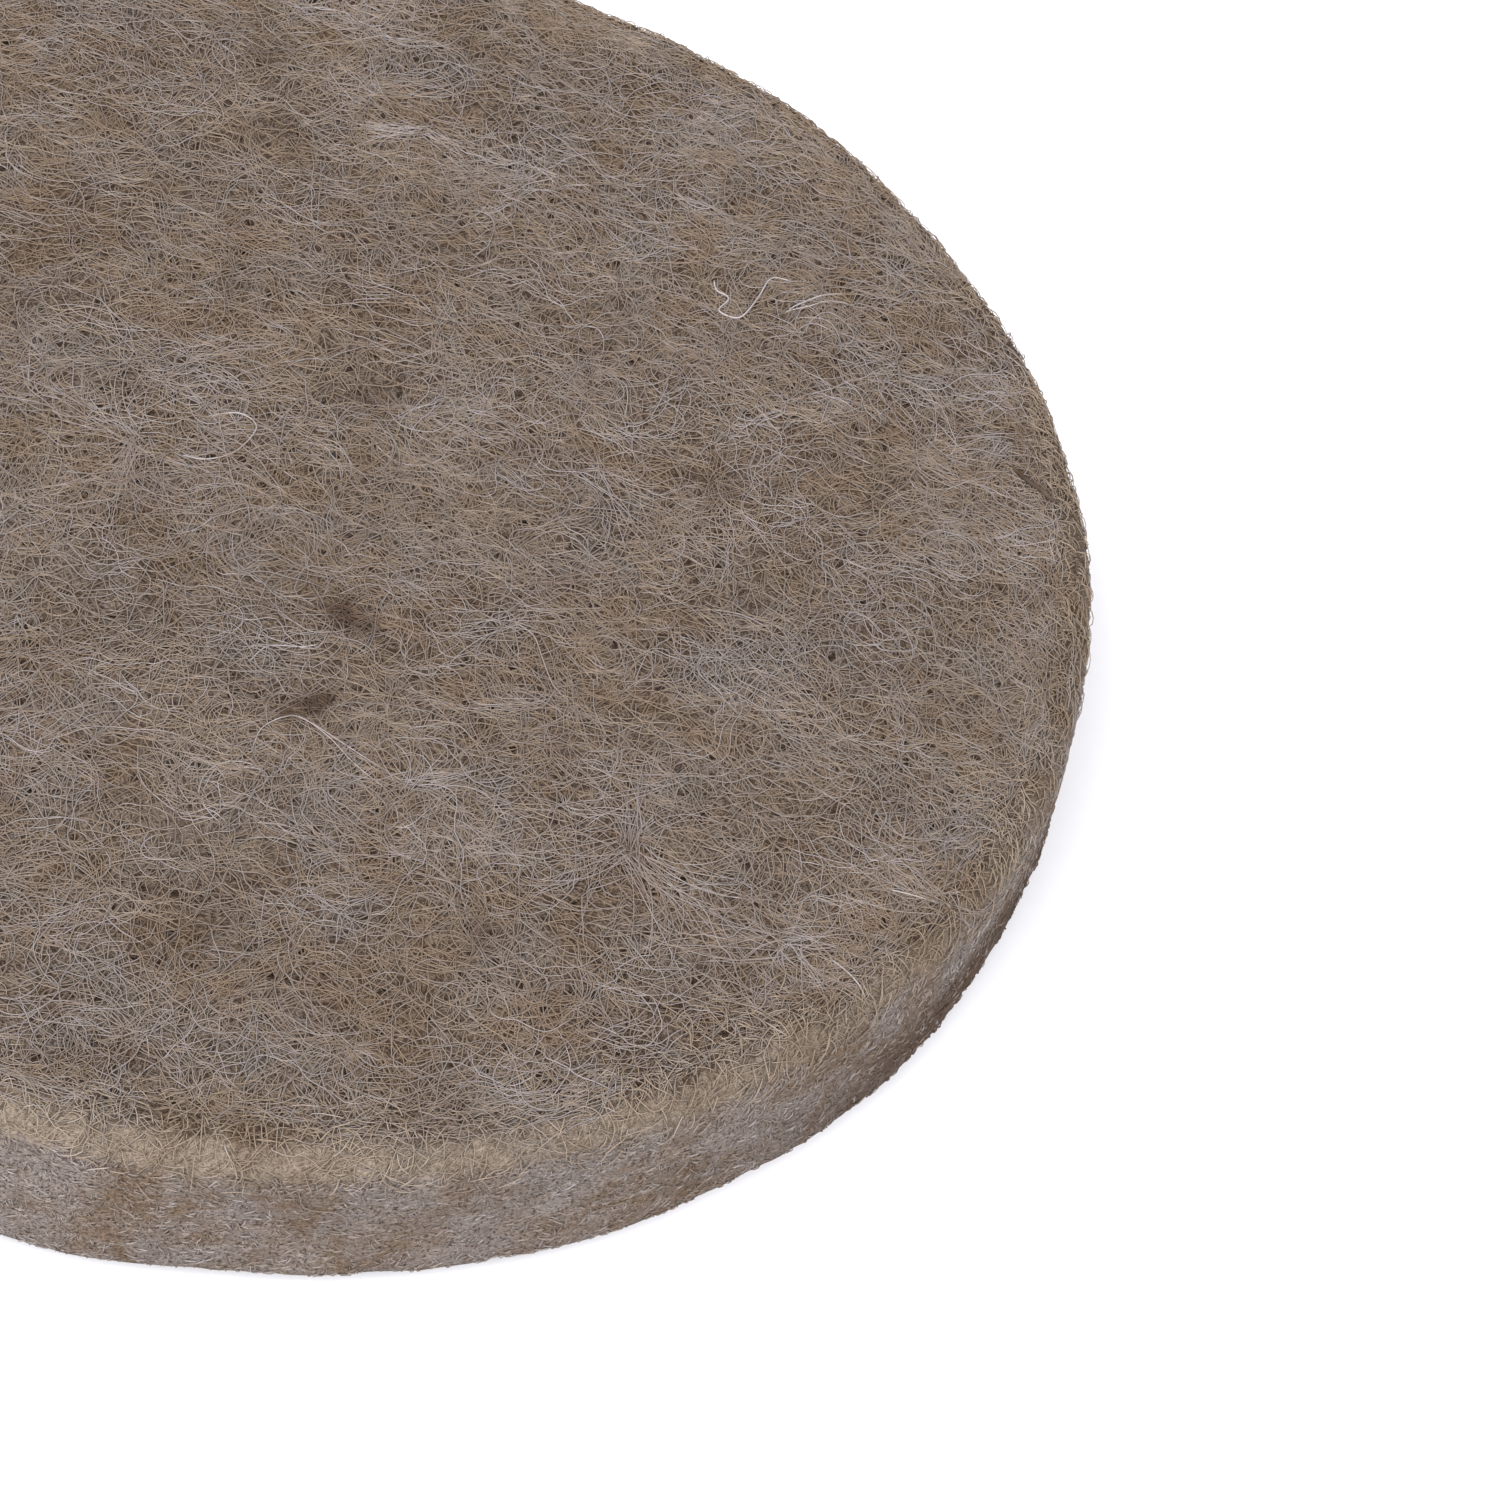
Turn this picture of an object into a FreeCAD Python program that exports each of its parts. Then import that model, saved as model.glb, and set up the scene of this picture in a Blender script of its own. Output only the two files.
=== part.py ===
import FreeCAD, Part
import os
import Sketcher

# A felt polishing wheel for a small lapidary machine. A pressed wool disc with a closed working
# face is cemented to a round steel plate, which lies in a recess in its back. A blind threaded
# insert, swaged into the plate, spins on to the machine's spindle. A ring of cloth stiffens the
# felt around the plate. Nothing moves within the wheel: it turns as one piece.
#
# The wheel's axis is +Z. The origin is on the axis in the seating plane, where the backs of the
# plate and of the cloth lie, and the working face is uppermost. Sizes are in millimetres.

SIZES = (
    ("wheel_diameter", 50.8, "across the felt at its heel, 2 in"),
    ("felt_thickness", 5.5, "nominal 1/4 in, as pressed"),
    ("rim_draft", 4.0, "the rim leans in by this angle towards the face, in degrees"),
    ("shoulder_round", 1.1, "radius between the working face and the rim"),
    ("heel_round", 0.4, "radius between the rim and the back"),
    ("cloth_thickness", 0.45, "woven backing"),
    ("cloth_margin", 2.4, "bare felt outside the cloth"),
    ("cloth_gap", 0.5, "from the plate's edge to the cloth"),
    ("cement_film", 0.15, "cement between any two bonded faces"),
    ("plate_diameter", 30.0, "hub plate"),
    ("plate_thickness", 1.6, "hub plate"),
    ("plate_edge_break", 0.3, "chamfer around the plate's back"),
    ("key_count", 4, "holes through the plate that the cement keys into"),
    ("key_diameter", 3.0, "each key hole"),
    ("key_circle", 21.0, "diameter of the circle that the key holes lie on"),
    ("key_recess", 0.2, "the cement keys end this far inside the plate's back"),
    ("head_across_flats", 11.0, "hexagonal head of the insert"),
    ("head_thickness", 0.8, "hexagonal head of the insert"),
    ("barrel_diameter", 8.0, "insert"),
    ("insert_length", 4.2, "over all"),
    ("barrel_chamfer", 0.4, "around the closed end of the insert"),
    ("swage_diameter", 9.2, "collar that clamps the insert to the plate"),
    ("swage_thickness", 0.4, "collar that clamps the insert to the plate"),
    ("insert_clearance", 0.05, "around the insert in the plate, each side"),
    ("thread_minor_diameter", 5.0, "M6 x 1 thread, as its tapped minor diameter"),
    ("mouth_diameter", 6.4, "countersink at the thread's mouth"),
    ("end_wall", 0.7, "flat end of the insert, beyond the thread"),
)

document = FreeCAD.newDocument("felt_polishing_wheel")
sheet = document.addObject("Spreadsheet::Sheet", "Sizes")
for row, (alias, size, purpose) in enumerate(SIZES, start=1):
    sheet.set(f"A{row}", alias)
    sheet.set(f"B{row}", str(size))
    sheet.setAlias(f"B{row}", alias)
    sheet.set(f"C{row}", purpose)
document.recompute()

# Levels above the seating plane, and radii that more than one piece shares.
FELT_BACK = "(Sizes.cloth_thickness + Sizes.cement_film)"
WHEEL_RADIUS = "(Sizes.wheel_diameter / 2)"
FACE_RADIUS = f"({WHEEL_RADIUS} - Sizes.felt_thickness * tan(Sizes.rim_draft * 1 deg))"
PLATE_RADIUS = "(Sizes.plate_diameter / 2)"
PLATE_FRONT = "Sizes.plate_thickness"
RECESS_RADIUS = f"({PLATE_RADIUS} + Sizes.cement_film)"
RECESS_ROOF = f"({PLATE_FRONT} + Sizes.cement_film)"
BARREL_RADIUS = "(Sizes.barrel_diameter / 2)"
SWAGE_RADIUS = "(Sizes.swage_diameter / 2)"
SWAGE_END = f"({PLATE_FRONT} + Sizes.swage_thickness)"
POCKET_RADIUS = f"({SWAGE_RADIUS} + Sizes.cement_film)"
POCKET_ROOF = "(Sizes.insert_length + Sizes.cement_film)"
CLOTH_INNER_RADIUS = f"({PLATE_RADIUS} + Sizes.cloth_gap)"
CLOTH_OUTER_RADIUS = f"({WHEEL_RADIUS} - Sizes.cloth_margin)"
KEY_RADIUS = "(Sizes.key_diameter / 2)"
KEY_PLACE = "(Sizes.key_circle / 2)"
THREAD_RADIUS = "(Sizes.thread_minor_diameter / 2)"
MOUTH_RADIUS = "(Sizes.mouth_diameter / 2)"
THREAD_END = "(Sizes.insert_length - Sizes.end_wall)"


def value(expression):
    """The number that an expression gives with the sizes as they are now."""
    return float(sheet.evalExpression(expression))


def new_body(label, level="0"):
    """A body that stands at this level above the seating plane."""
    body = document.addObject("PartDesign::Body", label)
    body.Label = label
    body.setExpression("Placement.Base.z", level)
    return body


def new_sketch(body, name, plane_role, level="0"):
    """A sketch on one of the body's own origin planes, raised by this level along its normal."""
    plane = next(part for part in body.Origin.OriginFeatures if part.Role == plane_role)
    sketch = body.newObject("Sketcher::SketchObject", name)
    sketch.AttachmentSupport = (plane, "")
    sketch.MapMode = "FlatFace"
    sketch.setExpression("AttachmentOffset.Base.z", level)
    return sketch


def constrain(sketch, expression, kind, *where):
    """Adds a constraint whose value follows the expression."""
    index = sketch.addConstraint(Sketcher.Constraint(kind, *where, value(expression)))
    sketch.setExpression(f"Constraints[{index}]", expression)


def add_circle(sketch, radius, centre="0"):
    """Draws a circle, centred on the sketch's X axis at this distance from its origin."""
    middle = FreeCAD.Vector(value(centre), 0, 0)
    circle = Part.Circle(middle, FreeCAD.Vector(0, 0, 1), value(radius))
    index = sketch.addGeometry(circle, False)
    if centre == "0":
        sketch.addConstraint(Sketcher.Constraint("Coincident", index, 3, -1, 1))
    else:
        sketch.addConstraint(Sketcher.Constraint("PointOnObject", index, 3, -1))
        constrain(sketch, centre, "DistanceX", -1, 1, index, 3)
    constrain(sketch, radius, "Radius", index)


def add_outline(sketch, corners):
    """Draws a closed outline through (distance from the axis, height) corners.

    A corner at "0" stays on the sketch's own axis.
    """
    places = [FreeCAD.Vector(value(across), value(up), 0) for across, up in corners]
    for index, start in enumerate(places):
        end = places[(index + 1) % len(places)]
        sketch.addGeometry(Part.LineSegment(start, end), False)
    for index, (across, up) in enumerate(corners):
        before = (index - 1) % len(corners)
        sketch.addConstraint(Sketcher.Constraint("Coincident", before, 2, index, 1))
        if across == "0":
            sketch.addConstraint(Sketcher.Constraint("PointOnObject", index, 1, -2))
        else:
            constrain(sketch, across, "DistanceX", -1, 1, index, 1)
        if up == "0":
            sketch.addConstraint(Sketcher.Constraint("PointOnObject", index, 1, -1))
        else:
            constrain(sketch, up, "DistanceY", -1, 1, index, 1)


def add_hexagon(sketch, across_flats):
    """Draws a regular hexagon about the origin, with two corners on the sketch's X axis."""
    corner_radius = f"({across_flats} / 2 / cos(30 deg))"
    origin = FreeCAD.Vector(0, 0, 0)
    upright = FreeCAD.Vector(0, 0, 1)
    corner = FreeCAD.Vector(value(corner_radius), 0, 0)
    corners = [FreeCAD.Rotation(upright, 60 * turn).multVec(corner) for turn in range(6)]
    for index, start in enumerate(corners):
        sketch.addGeometry(Part.LineSegment(start, corners[(index + 1) % 6]), False)
    circle = sketch.addGeometry(Part.Circle(origin, upright, corner.x), True)
    sketch.addConstraint(Sketcher.Constraint("Coincident", circle, 3, -1, 1))
    constrain(sketch, corner_radius, "Radius", circle)
    for index in range(6):
        sketch.addConstraint(Sketcher.Constraint("Coincident", index, 2, (index + 1) % 6, 1))
        sketch.addConstraint(Sketcher.Constraint("PointOnObject", index, 1, circle))
    for index in range(1, 6):
        sketch.addConstraint(Sketcher.Constraint("Equal", 0, index))
    sketch.addConstraint(Sketcher.Constraint("PointOnObject", 0, 1, -1))


def pad(body, sketch, name, length):
    """Raises the sketch from its plane."""
    feature = body.newObject("PartDesign::Pad", name)
    feature.Profile = sketch
    feature.setExpression("Length", length)
    return feature


def pocket_from_below(body, sketch, name, depth):
    """Cuts the sketch upwards from its plane, into the body that stands on it."""
    feature = body.newObject("PartDesign::Pocket", name)
    feature.Profile = sketch
    feature.Reversed = True
    feature.setExpression("Length", depth)
    return feature


def turned(body, kind, name, corners):
    """Turns an outline about the wheel's axis, as a Revolution or a Groove."""
    sketch = new_sketch(body, f"{name}_outline", "XZ_Plane")
    add_outline(sketch, corners)
    feature = body.newObject(f"PartDesign::{kind}", name)
    feature.Profile = sketch
    feature.ReferenceAxis = (sketch, ["V_Axis"])
    feature.Angle = 360
    return feature


def around_the_axis(body, feature, name):
    """Repeats one key hole, or one key, around the wheel's axis."""
    pattern = body.newObject("PartDesign::PolarPattern", name)
    pattern.Originals = [feature]
    axis = next(part for part in body.Origin.OriginFeatures if part.Role == "Z_Axis")
    pattern.Axis = (axis, [""])
    pattern.Angle = 360
    pattern.setExpression("Occurrences", "Sizes.key_count")
    body.Tip = pattern
    return pattern


def circle_names(feature, radius, level):
    """The names of the feature's circular edges with this radius at this level in its body."""
    document.recompute()
    names = []
    for number, edge in enumerate(feature.Shape.Edges, start=1):
        curve = edge.Curve
        if isinstance(curve, Part.Circle):
            same_radius = abs(curve.Radius - value(radius)) < 1e-6
            if same_radius and abs(curve.Center.z - value(level)) < 1e-6:
                names.append(f"Edge{number}")
    return names


def round_edge(body, feature, name, radius, edge_radius, level):
    """Fillets the circular edge with this radius at this level."""
    fillet = body.newObject("PartDesign::Fillet", name)
    fillet.Base = (feature, circle_names(feature, edge_radius, level))
    fillet.setExpression("Radius", radius)
    return fillet


def break_edge(body, feature, name, size, edge_radius, level):
    """Chamfers the circular edge with this radius at this level."""
    chamfer = body.newObject("PartDesign::Chamfer", name)
    chamfer.Base = (feature, circle_names(feature, edge_radius, level))
    chamfer.setExpression("Size", size)
    return chamfer


def build_felt_disc():
    """The pressed wool disc: closed face, leaning rim, and a stepped recess in its back."""
    body = new_body("felt_disc", FELT_BACK)
    blank = new_sketch(body, "blank_outline", "XY_Plane")
    add_circle(blank, WHEEL_RADIUS)
    disc = pad(body, blank, "blank", "Sizes.felt_thickness")
    disc.setExpression("TaperAngle", "-Sizes.rim_draft")
    shoulder = round_edge(
        body, disc, "shoulder", "Sizes.shoulder_round", FACE_RADIUS, "Sizes.felt_thickness"
    )
    round_edge(body, shoulder, "heel", "Sizes.heel_round", WHEEL_RADIUS, "0")
    plate_recess = new_sketch(body, "plate_recess_outline", "XY_Plane")
    add_circle(plate_recess, RECESS_RADIUS)
    pocket_from_below(body, plate_recess, "plate_recess", f"{RECESS_ROOF} - {FELT_BACK}")
    insert_recess = new_sketch(body, "insert_recess_outline", "XY_Plane")
    add_circle(insert_recess, POCKET_RADIUS)
    pocket_from_below(body, insert_recess, "insert_recess", f"{POCKET_ROOF} - {FELT_BACK}")
    return body


def build_hub_plate():
    """The steel plate: a hexagonal seat, a hole for the insert, and holes the cement keys into."""
    body = new_body("hub_plate")
    blank = new_sketch(body, "plate_outline", "XY_Plane")
    add_circle(blank, PLATE_RADIUS)
    plate = pad(body, blank, "plate", PLATE_FRONT)
    break_edge(body, plate, "back_edge", "Sizes.plate_edge_break", PLATE_RADIUS, "0")
    seat = new_sketch(body, "head_seat_outline", "XY_Plane")
    add_hexagon(seat, "(Sizes.head_across_flats + 2 * Sizes.insert_clearance)")
    pocket_from_below(body, seat, "head_seat", "Sizes.head_thickness")
    hole = new_sketch(body, "barrel_hole_outline", "XY_Plane")
    add_circle(hole, f"({BARREL_RADIUS} + Sizes.insert_clearance)")
    pocket_from_below(body, hole, "barrel_hole", PLATE_FRONT)
    key = new_sketch(body, "key_hole_outline", "XY_Plane")
    add_circle(key, KEY_RADIUS, KEY_PLACE)
    key_hole = pocket_from_below(body, key, "key_hole", PLATE_FRONT)
    around_the_axis(body, key_hole, "key_holes")
    return body


def build_threaded_insert():
    """The blind steel insert: a flush head, a swaged collar and a barrel closed at its far end."""
    body = new_body("threaded_insert")
    head = new_sketch(body, "head_outline", "XY_Plane")
    add_hexagon(head, "Sizes.head_across_flats")
    pad(body, head, "head", "Sizes.head_thickness")
    barrel = (
        ("0", "0"),
        (BARREL_RADIUS, "0"),
        (BARREL_RADIUS, PLATE_FRONT),
        (SWAGE_RADIUS, PLATE_FRONT),
        (SWAGE_RADIUS, SWAGE_END),
        (BARREL_RADIUS, SWAGE_END),
        (BARREL_RADIUS, "(Sizes.insert_length - Sizes.barrel_chamfer)"),
        (f"({BARREL_RADIUS} - Sizes.barrel_chamfer)", "Sizes.insert_length"),
        ("0", "Sizes.insert_length"),
    )
    turned(body, "Revolution", "barrel", barrel)
    # The mouth's countersink is a 90 degree cone, and the blind end is flat.
    thread = (
        ("0", "0"),
        (MOUTH_RADIUS, "0"),
        (THREAD_RADIUS, f"({MOUTH_RADIUS} - {THREAD_RADIUS})"),
        (THREAD_RADIUS, THREAD_END),
        ("0", THREAD_END),
    )
    turned(body, "Groove", "thread", thread)
    return body


def build_hub_cement():
    """The cement around the plate and the insert, with a key through each of the plate's holes."""
    body = new_body("hub_cement")
    section = (
        (PLATE_RADIUS, FELT_BACK),
        (RECESS_RADIUS, FELT_BACK),
        (RECESS_RADIUS, RECESS_ROOF),
        (POCKET_RADIUS, RECESS_ROOF),
        (POCKET_RADIUS, POCKET_ROOF),
        ("0", POCKET_ROOF),
        ("0", "Sizes.insert_length"),
        (f"({BARREL_RADIUS} - Sizes.barrel_chamfer)", "Sizes.insert_length"),
        (BARREL_RADIUS, "(Sizes.insert_length - Sizes.barrel_chamfer)"),
        (BARREL_RADIUS, SWAGE_END),
        (SWAGE_RADIUS, SWAGE_END),
        (SWAGE_RADIUS, PLATE_FRONT),
        (PLATE_RADIUS, PLATE_FRONT),
    )
    turned(body, "Revolution", "film", section)
    key = new_sketch(body, "key_outline", "XY_Plane", "Sizes.key_recess")
    add_circle(key, KEY_RADIUS, KEY_PLACE)
    one_key = pad(body, key, "key", f"{RECESS_ROOF} - Sizes.key_recess")
    around_the_axis(body, one_key, "keys")
    return body


def build_backing_ring(label, level, thickness):
    """A flat ring on the felt's back, around the plate: the cloth, or the film that holds it."""
    body = new_body(label, level)
    outline = new_sketch(body, "ring_outline", "XY_Plane")
    add_circle(outline, CLOTH_OUTER_RADIUS)
    add_circle(outline, CLOTH_INNER_RADIUS)
    pad(body, outline, "ring", thickness)
    return body


bodies = (
    build_felt_disc(),
    build_hub_plate(),
    build_threaded_insert(),
    build_hub_cement(),
    build_backing_ring("backing_cloth", "0", "Sizes.cloth_thickness"),
    build_backing_ring("cloth_cement", "Sizes.cloth_thickness", "Sizes.cement_film"),
)
document.recompute()

for item in document.Objects:
    if "Invalid" in item.State or "Error" in item.State:
        raise RuntimeError(f"{item.Label} didn't build: {item.State}")
for body in bodies:
    if body.Shape.isNull() or not body.Shape.isValid() or len(body.Shape.Solids) != 1:
        raise RuntimeError(f"{body.Label} isn't one valid solid")

os.makedirs("parts", exist_ok=True)
for body in bodies:
    body.Shape.exportStep(f"parts/{body.Label}.step")
    box = body.Shape.BoundBox
    print(f"{body.Label}: {body.Shape.Volume:.2f} mm3, z {box.ZMin:.3f} to {box.ZMax:.3f}")
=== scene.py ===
"""The looks of a felt polishing wheel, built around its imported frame.

The wheel is a disc of pressed wool on a threaded steel hub. The felt is a solid body of matted
wool under a skin of separate fibres; the hub, its cement and the cloth that backs the felt show
from behind. Lengths are in metres, with +Z along the wheel's axis.
"""
import logging
import math
from dataclasses import dataclass
from enum import Enum

import bpy
import numpy as np
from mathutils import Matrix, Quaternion, Vector


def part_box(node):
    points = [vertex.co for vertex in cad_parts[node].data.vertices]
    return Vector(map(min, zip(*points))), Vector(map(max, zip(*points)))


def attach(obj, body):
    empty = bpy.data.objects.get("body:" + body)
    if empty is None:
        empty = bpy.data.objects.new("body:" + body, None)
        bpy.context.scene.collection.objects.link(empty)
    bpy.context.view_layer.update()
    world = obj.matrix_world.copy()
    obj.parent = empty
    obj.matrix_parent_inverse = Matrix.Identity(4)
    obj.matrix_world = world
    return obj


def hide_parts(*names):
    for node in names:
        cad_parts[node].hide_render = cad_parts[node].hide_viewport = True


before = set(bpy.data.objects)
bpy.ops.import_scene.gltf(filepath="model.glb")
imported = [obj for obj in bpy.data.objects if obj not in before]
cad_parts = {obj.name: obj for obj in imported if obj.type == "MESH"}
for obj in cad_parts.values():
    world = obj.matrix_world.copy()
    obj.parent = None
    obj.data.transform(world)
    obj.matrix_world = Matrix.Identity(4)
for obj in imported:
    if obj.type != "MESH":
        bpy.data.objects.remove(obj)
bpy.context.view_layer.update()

MM = 0.001
CLOUD_SIZE = 2.6 * MM
LOG = logging.getLogger("felt_wheel")

Array = np.ndarray
Colour = tuple[float, float, float]


# ---------------------------------------------------------------- small helpers


def linear(red: float, green: float, blue: float) -> tuple[float, float, float, float]:
    """Turns a display colour, 0 to 255, into the linear colour that shaders use.

    Args:
        red: display red.
        green: display green.
        blue: display blue.

    Returns:
        The linear colour with an alpha of 1.
    """
    shares = (channel / 255 for channel in (red, green, blue))
    bent = (s / 12.92 if s <= 0.04045 else ((s + 0.055) / 1.055) ** 2.4 for s in shares)
    return (*bent, 1.0)


def unit(vectors: Array) -> Array:
    """Scales each row to a length of 1."""
    return vectors / np.maximum(np.linalg.norm(vectors, axis=-1, keepdims=True), 1e-12)


def make_object(name: str, vertices: Array, faces: list[list[int]]) -> bpy.types.Object:
    """Makes a smooth mesh object at the origin.

    Args:
        name: the piece's name.
        vertices: one row of x, y, z for each vertex.
        faces: each face's vertex numbers, seen anticlockwise from outside.

    Returns:
        The new object.
    """
    mesh = bpy.data.meshes.new(name)
    mesh.from_pydata(vertices, [], faces)
    mesh.polygons.foreach_set("use_smooth", np.ones(len(mesh.polygons), bool))
    mesh.update()
    made = bpy.data.objects.new(name, mesh)
    bpy.context.scene.collection.objects.link(made)
    return made


def vertex_places(piece: bpy.types.Object) -> Array:
    """Reads a mesh's vertices.

    Args:
        piece: the object.

    Returns:
        Rows of x, y, z.
    """
    places = np.empty(len(piece.data.vertices) * 3)
    piece.data.vertices.foreach_get("co", places)
    return places.reshape(-1, 3)


def store(piece: bpy.types.Object, name: str, values: Array) -> None:
    """Stores a number for each vertex, which the finish reads.

    Args:
        piece: the object.
        name: the attribute's name.
        values: one number for each vertex.
    """
    attribute = piece.data.attributes.new(name, "FLOAT", "POINT")
    attribute.data.foreach_set("value", values.astype(np.float32))


def select_only(chosen: bpy.types.Object) -> None:
    """Makes one object the selected and active one, for the operators that follow.

    Args:
        chosen: the object.
    """
    bpy.ops.object.select_all(action="DESELECT")
    chosen.select_set(True)
    bpy.context.view_layer.objects.active = chosen


def toward(azimuth: float, elevation: float) -> Vector:
    """The direction from the wheel to a lamp or to the camera.

    Args:
        azimuth: degrees around the wheel, from its front.
        elevation: degrees above the table.

    Returns:
        The direction, with a length of 1.
    """
    turn, tilt = math.radians(azimuth), math.radians(elevation)
    return Vector((
        math.sin(turn) * math.cos(tilt), -math.cos(turn) * math.cos(tilt), math.sin(tilt)
    ))


def apply_modifier(piece: bpy.types.Object, kind: str, **settings: object) -> None:
    """Adds a modifier with these settings and applies it.

    Args:
        piece: the object to shape.
        kind: the modifier's type.
        settings: the modifier's own values.
    """
    select_only(piece)
    modifier = piece.modifiers.new(kind.lower(), kind)
    for name, value in settings.items():
        setattr(modifier, name, value)
    bpy.ops.object.modifier_apply(modifier=modifier.name)


def put_on_wheel(piece: bpy.types.Object, material: bpy.types.Material) -> None:
    """Fixes a piece to the wheel and its finish.

    Args:
        piece: the new piece.
        material: its finish.
    """
    piece.data.materials.clear()
    piece.data.materials.append(material)
    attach(piece, "root")
    LOG.info("%s: %d faces", piece.name, len(piece.data.polygons))


# ---------------------------------------------------------------- shader building


class Graph:
    """A node tree under construction, of a material or of a shared group."""

    def __init__(self, tree: bpy.types.NodeTree) -> None:
        """Starts with an empty tree."""
        self.tree = tree
        self.tree.nodes.clear()

    def add(self, kind: str, links: dict | None = None, **settings: object) -> bpy.types.Node:
        """Adds a node.

        Args:
            kind: the node's type, without its ShaderNode prefix.
            links: each input's name or number, with a socket to link or a value to set.
            settings: the node's own properties.

        Returns:
            The new node.
        """
        node = self.tree.nodes.new(f"ShaderNode{kind}")
        for name, value in settings.items():
            setattr(node, name, value)
        self.connect(node, links or {})
        return node

    def connect(self, node: bpy.types.Node, links: dict) -> None:
        """Fills a node's inputs.

        Args:
            node: the node.
            links: each input's name or number, with a socket to link or a value to set.
        """
        for key, value in links.items():
            if isinstance(value, bpy.types.NodeSocket):
                self.tree.links.new(value, node.inputs[key])
            else:
                node.inputs[key].default_value = value

    def attribute(self, name: str) -> bpy.types.NodeSocket:
        """Reads a number that the mesh stores."""
        return self.add("Attribute", attribute_name=name).outputs["Fac"]

    def math(
        self, operation: str, first: object, second: object = 0.0, third: object = 0.0
    ) -> bpy.types.NodeSocket:
        """Works out a number at each point.

        Args:
            operation: the Math node's operation.
            first: a socket or a number.
            second: a socket or a number.
            third: a socket or a number.

        Returns:
            The result's socket.
        """
        links = {0: first, 1: second, 2: third}
        return self.add("Math", links, operation=operation).outputs[0]

    def vector(self, operation: str, first: object, second: object) -> bpy.types.NodeSocket:
        """Works out a vector at each point.

        Args:
            operation: the Vector Math node's operation.
            first: a socket or a vector.
            second: a socket or a vector.

        Returns:
            The result's socket.
        """
        return self.add("VectorMath", {0: first, 1: second}, operation=operation).outputs[0]

    def fade(self, value: object, low: float, high: float) -> bpy.types.NodeSocket:
        """A smooth mask, 0 at low and 1 at high.

        Args:
            value: the socket that is read.
            low: where the mask is 0.
            high: where the mask is 1.

        Returns:
            The mask's socket.
        """
        links = {"Value": value, "From Min": low, "From Max": high}
        return self.add("MapRange", links, interpolation_type="SMOOTHSTEP").outputs["Result"]

    def span(self, value: object, low: float, high: float) -> bpy.types.NodeSocket:
        """Spreads a mask over a range.

        Args:
            value: the mask.
            low: the result where the mask is 0.
            high: the result where the mask is 1.

        Returns:
            The result's socket.
        """
        links = {"Value": value, "To Min": low, "To Max": high}
        return self.add("MapRange", links).outputs["Result"]

    def bump(self, height: object, strength: float, distance: float) -> bpy.types.NodeSocket:
        """Turns a height into the normal that shading reads.

        Args:
            height: the height's socket.
            strength: how much of it shows, 0 to 1.
            distance: how high a height of 1 is, in metres.

        Returns:
            The normal's socket.
        """
        links = {"Height": height, "Strength": strength, "Distance": distance}
        return self.add("Bump", links).outputs["Normal"]

    def blend(self, share: object, first: object, second: object) -> bpy.types.NodeSocket:
        """Mixes two colours.

        Args:
            share: how much of the second shows, 0 to 1.
            first: a colour or a socket.
            second: a colour or a socket.

        Returns:
            The mixed colour's socket.
        """
        links = {0: share, 6: first, 7: second}
        return self.add("Mix", links, data_type="RGBA").outputs[2]

    def noise(
        self, vector: object, size: float, detail: float = 2.0, rough: float = 0.5
    ) -> bpy.types.NodeSocket:
        """A cloudy value, 0 to 1.

        Args:
            vector: the coordinates' socket.
            size: how far apart the clouds are, in metres.
            detail: how many finer layers it has.
            rough: how strong the finer layers are.

        Returns:
            The value's socket.
        """
        links = {"Vector": vector, "Scale": 1 / size, "Detail": detail, "Roughness": rough}
        return self.add("TexNoise", links).outputs["Fac"]


def new_group(
    name: str, inputs: dict[str, float], outputs: dict[str, str]
) -> tuple[bpy.types.NodeTree, Graph, bpy.types.Node, bpy.types.Node]:
    """Starts a shared node group that reads a Vector and these values.

    Args:
        name: the group's name.
        inputs: each value input, with its default.
        outputs: each output, with its socket type.

    Returns:
        The group, its graph, its input node and its output node.
    """
    group = bpy.data.node_groups.new(name, "ShaderNodeTree")
    group.interface.new_socket("Vector", in_out="INPUT", socket_type="NodeSocketVector")
    for label, default in inputs.items():
        socket = group.interface.new_socket(label, in_out="INPUT", socket_type="NodeSocketFloat")
        socket.default_value = default
    for label, kind in outputs.items():
        group.interface.new_socket(label, in_out="OUTPUT", socket_type=kind)
    graph = Graph(group)
    start = group.nodes.new("NodeGroupInput")
    end = group.nodes.new("NodeGroupOutput")
    return group, graph, start, end


def wool_cloud_group() -> bpy.types.NodeTree:
    """The uneven dye of blended wool: warm patches, grey patches and a fine speckle.

    Returns:
        The group, whose outputs are the masks Warm, Grey and Speck.
    """
    masks = dict.fromkeys(("Warm", "Grey", "Speck"), "NodeSocketFloat")
    group, graph, start, end = new_group("wool_cloud", {"Size": CLOUD_SIZE}, masks)
    spot = start.outputs["Vector"]
    scale = graph.math("DIVIDE", 1.0, start.outputs["Size"])
    broad = {"Vector": spot, "Scale": scale, "Detail": 4.0, "Roughness": 0.62, "Distortion": 0.5}
    warm = graph.add("TexNoise", broad).outputs["Fac"]
    broad["Vector"] = graph.vector("ADD", spot, (0.031, -0.017, 0.023))
    grey = graph.add("TexNoise", broad).outputs["Fac"]
    speck = graph.noise(spot, 0.00022, 3.0, 0.65)
    results = {
        "Warm": graph.fade(warm, 0.42, 0.66),
        "Grey": graph.fade(grey, 0.44, 0.66),
        "Speck": graph.fade(speck, 0.34, 0.66),
    }
    graph.connect(end, results)
    return group


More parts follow.
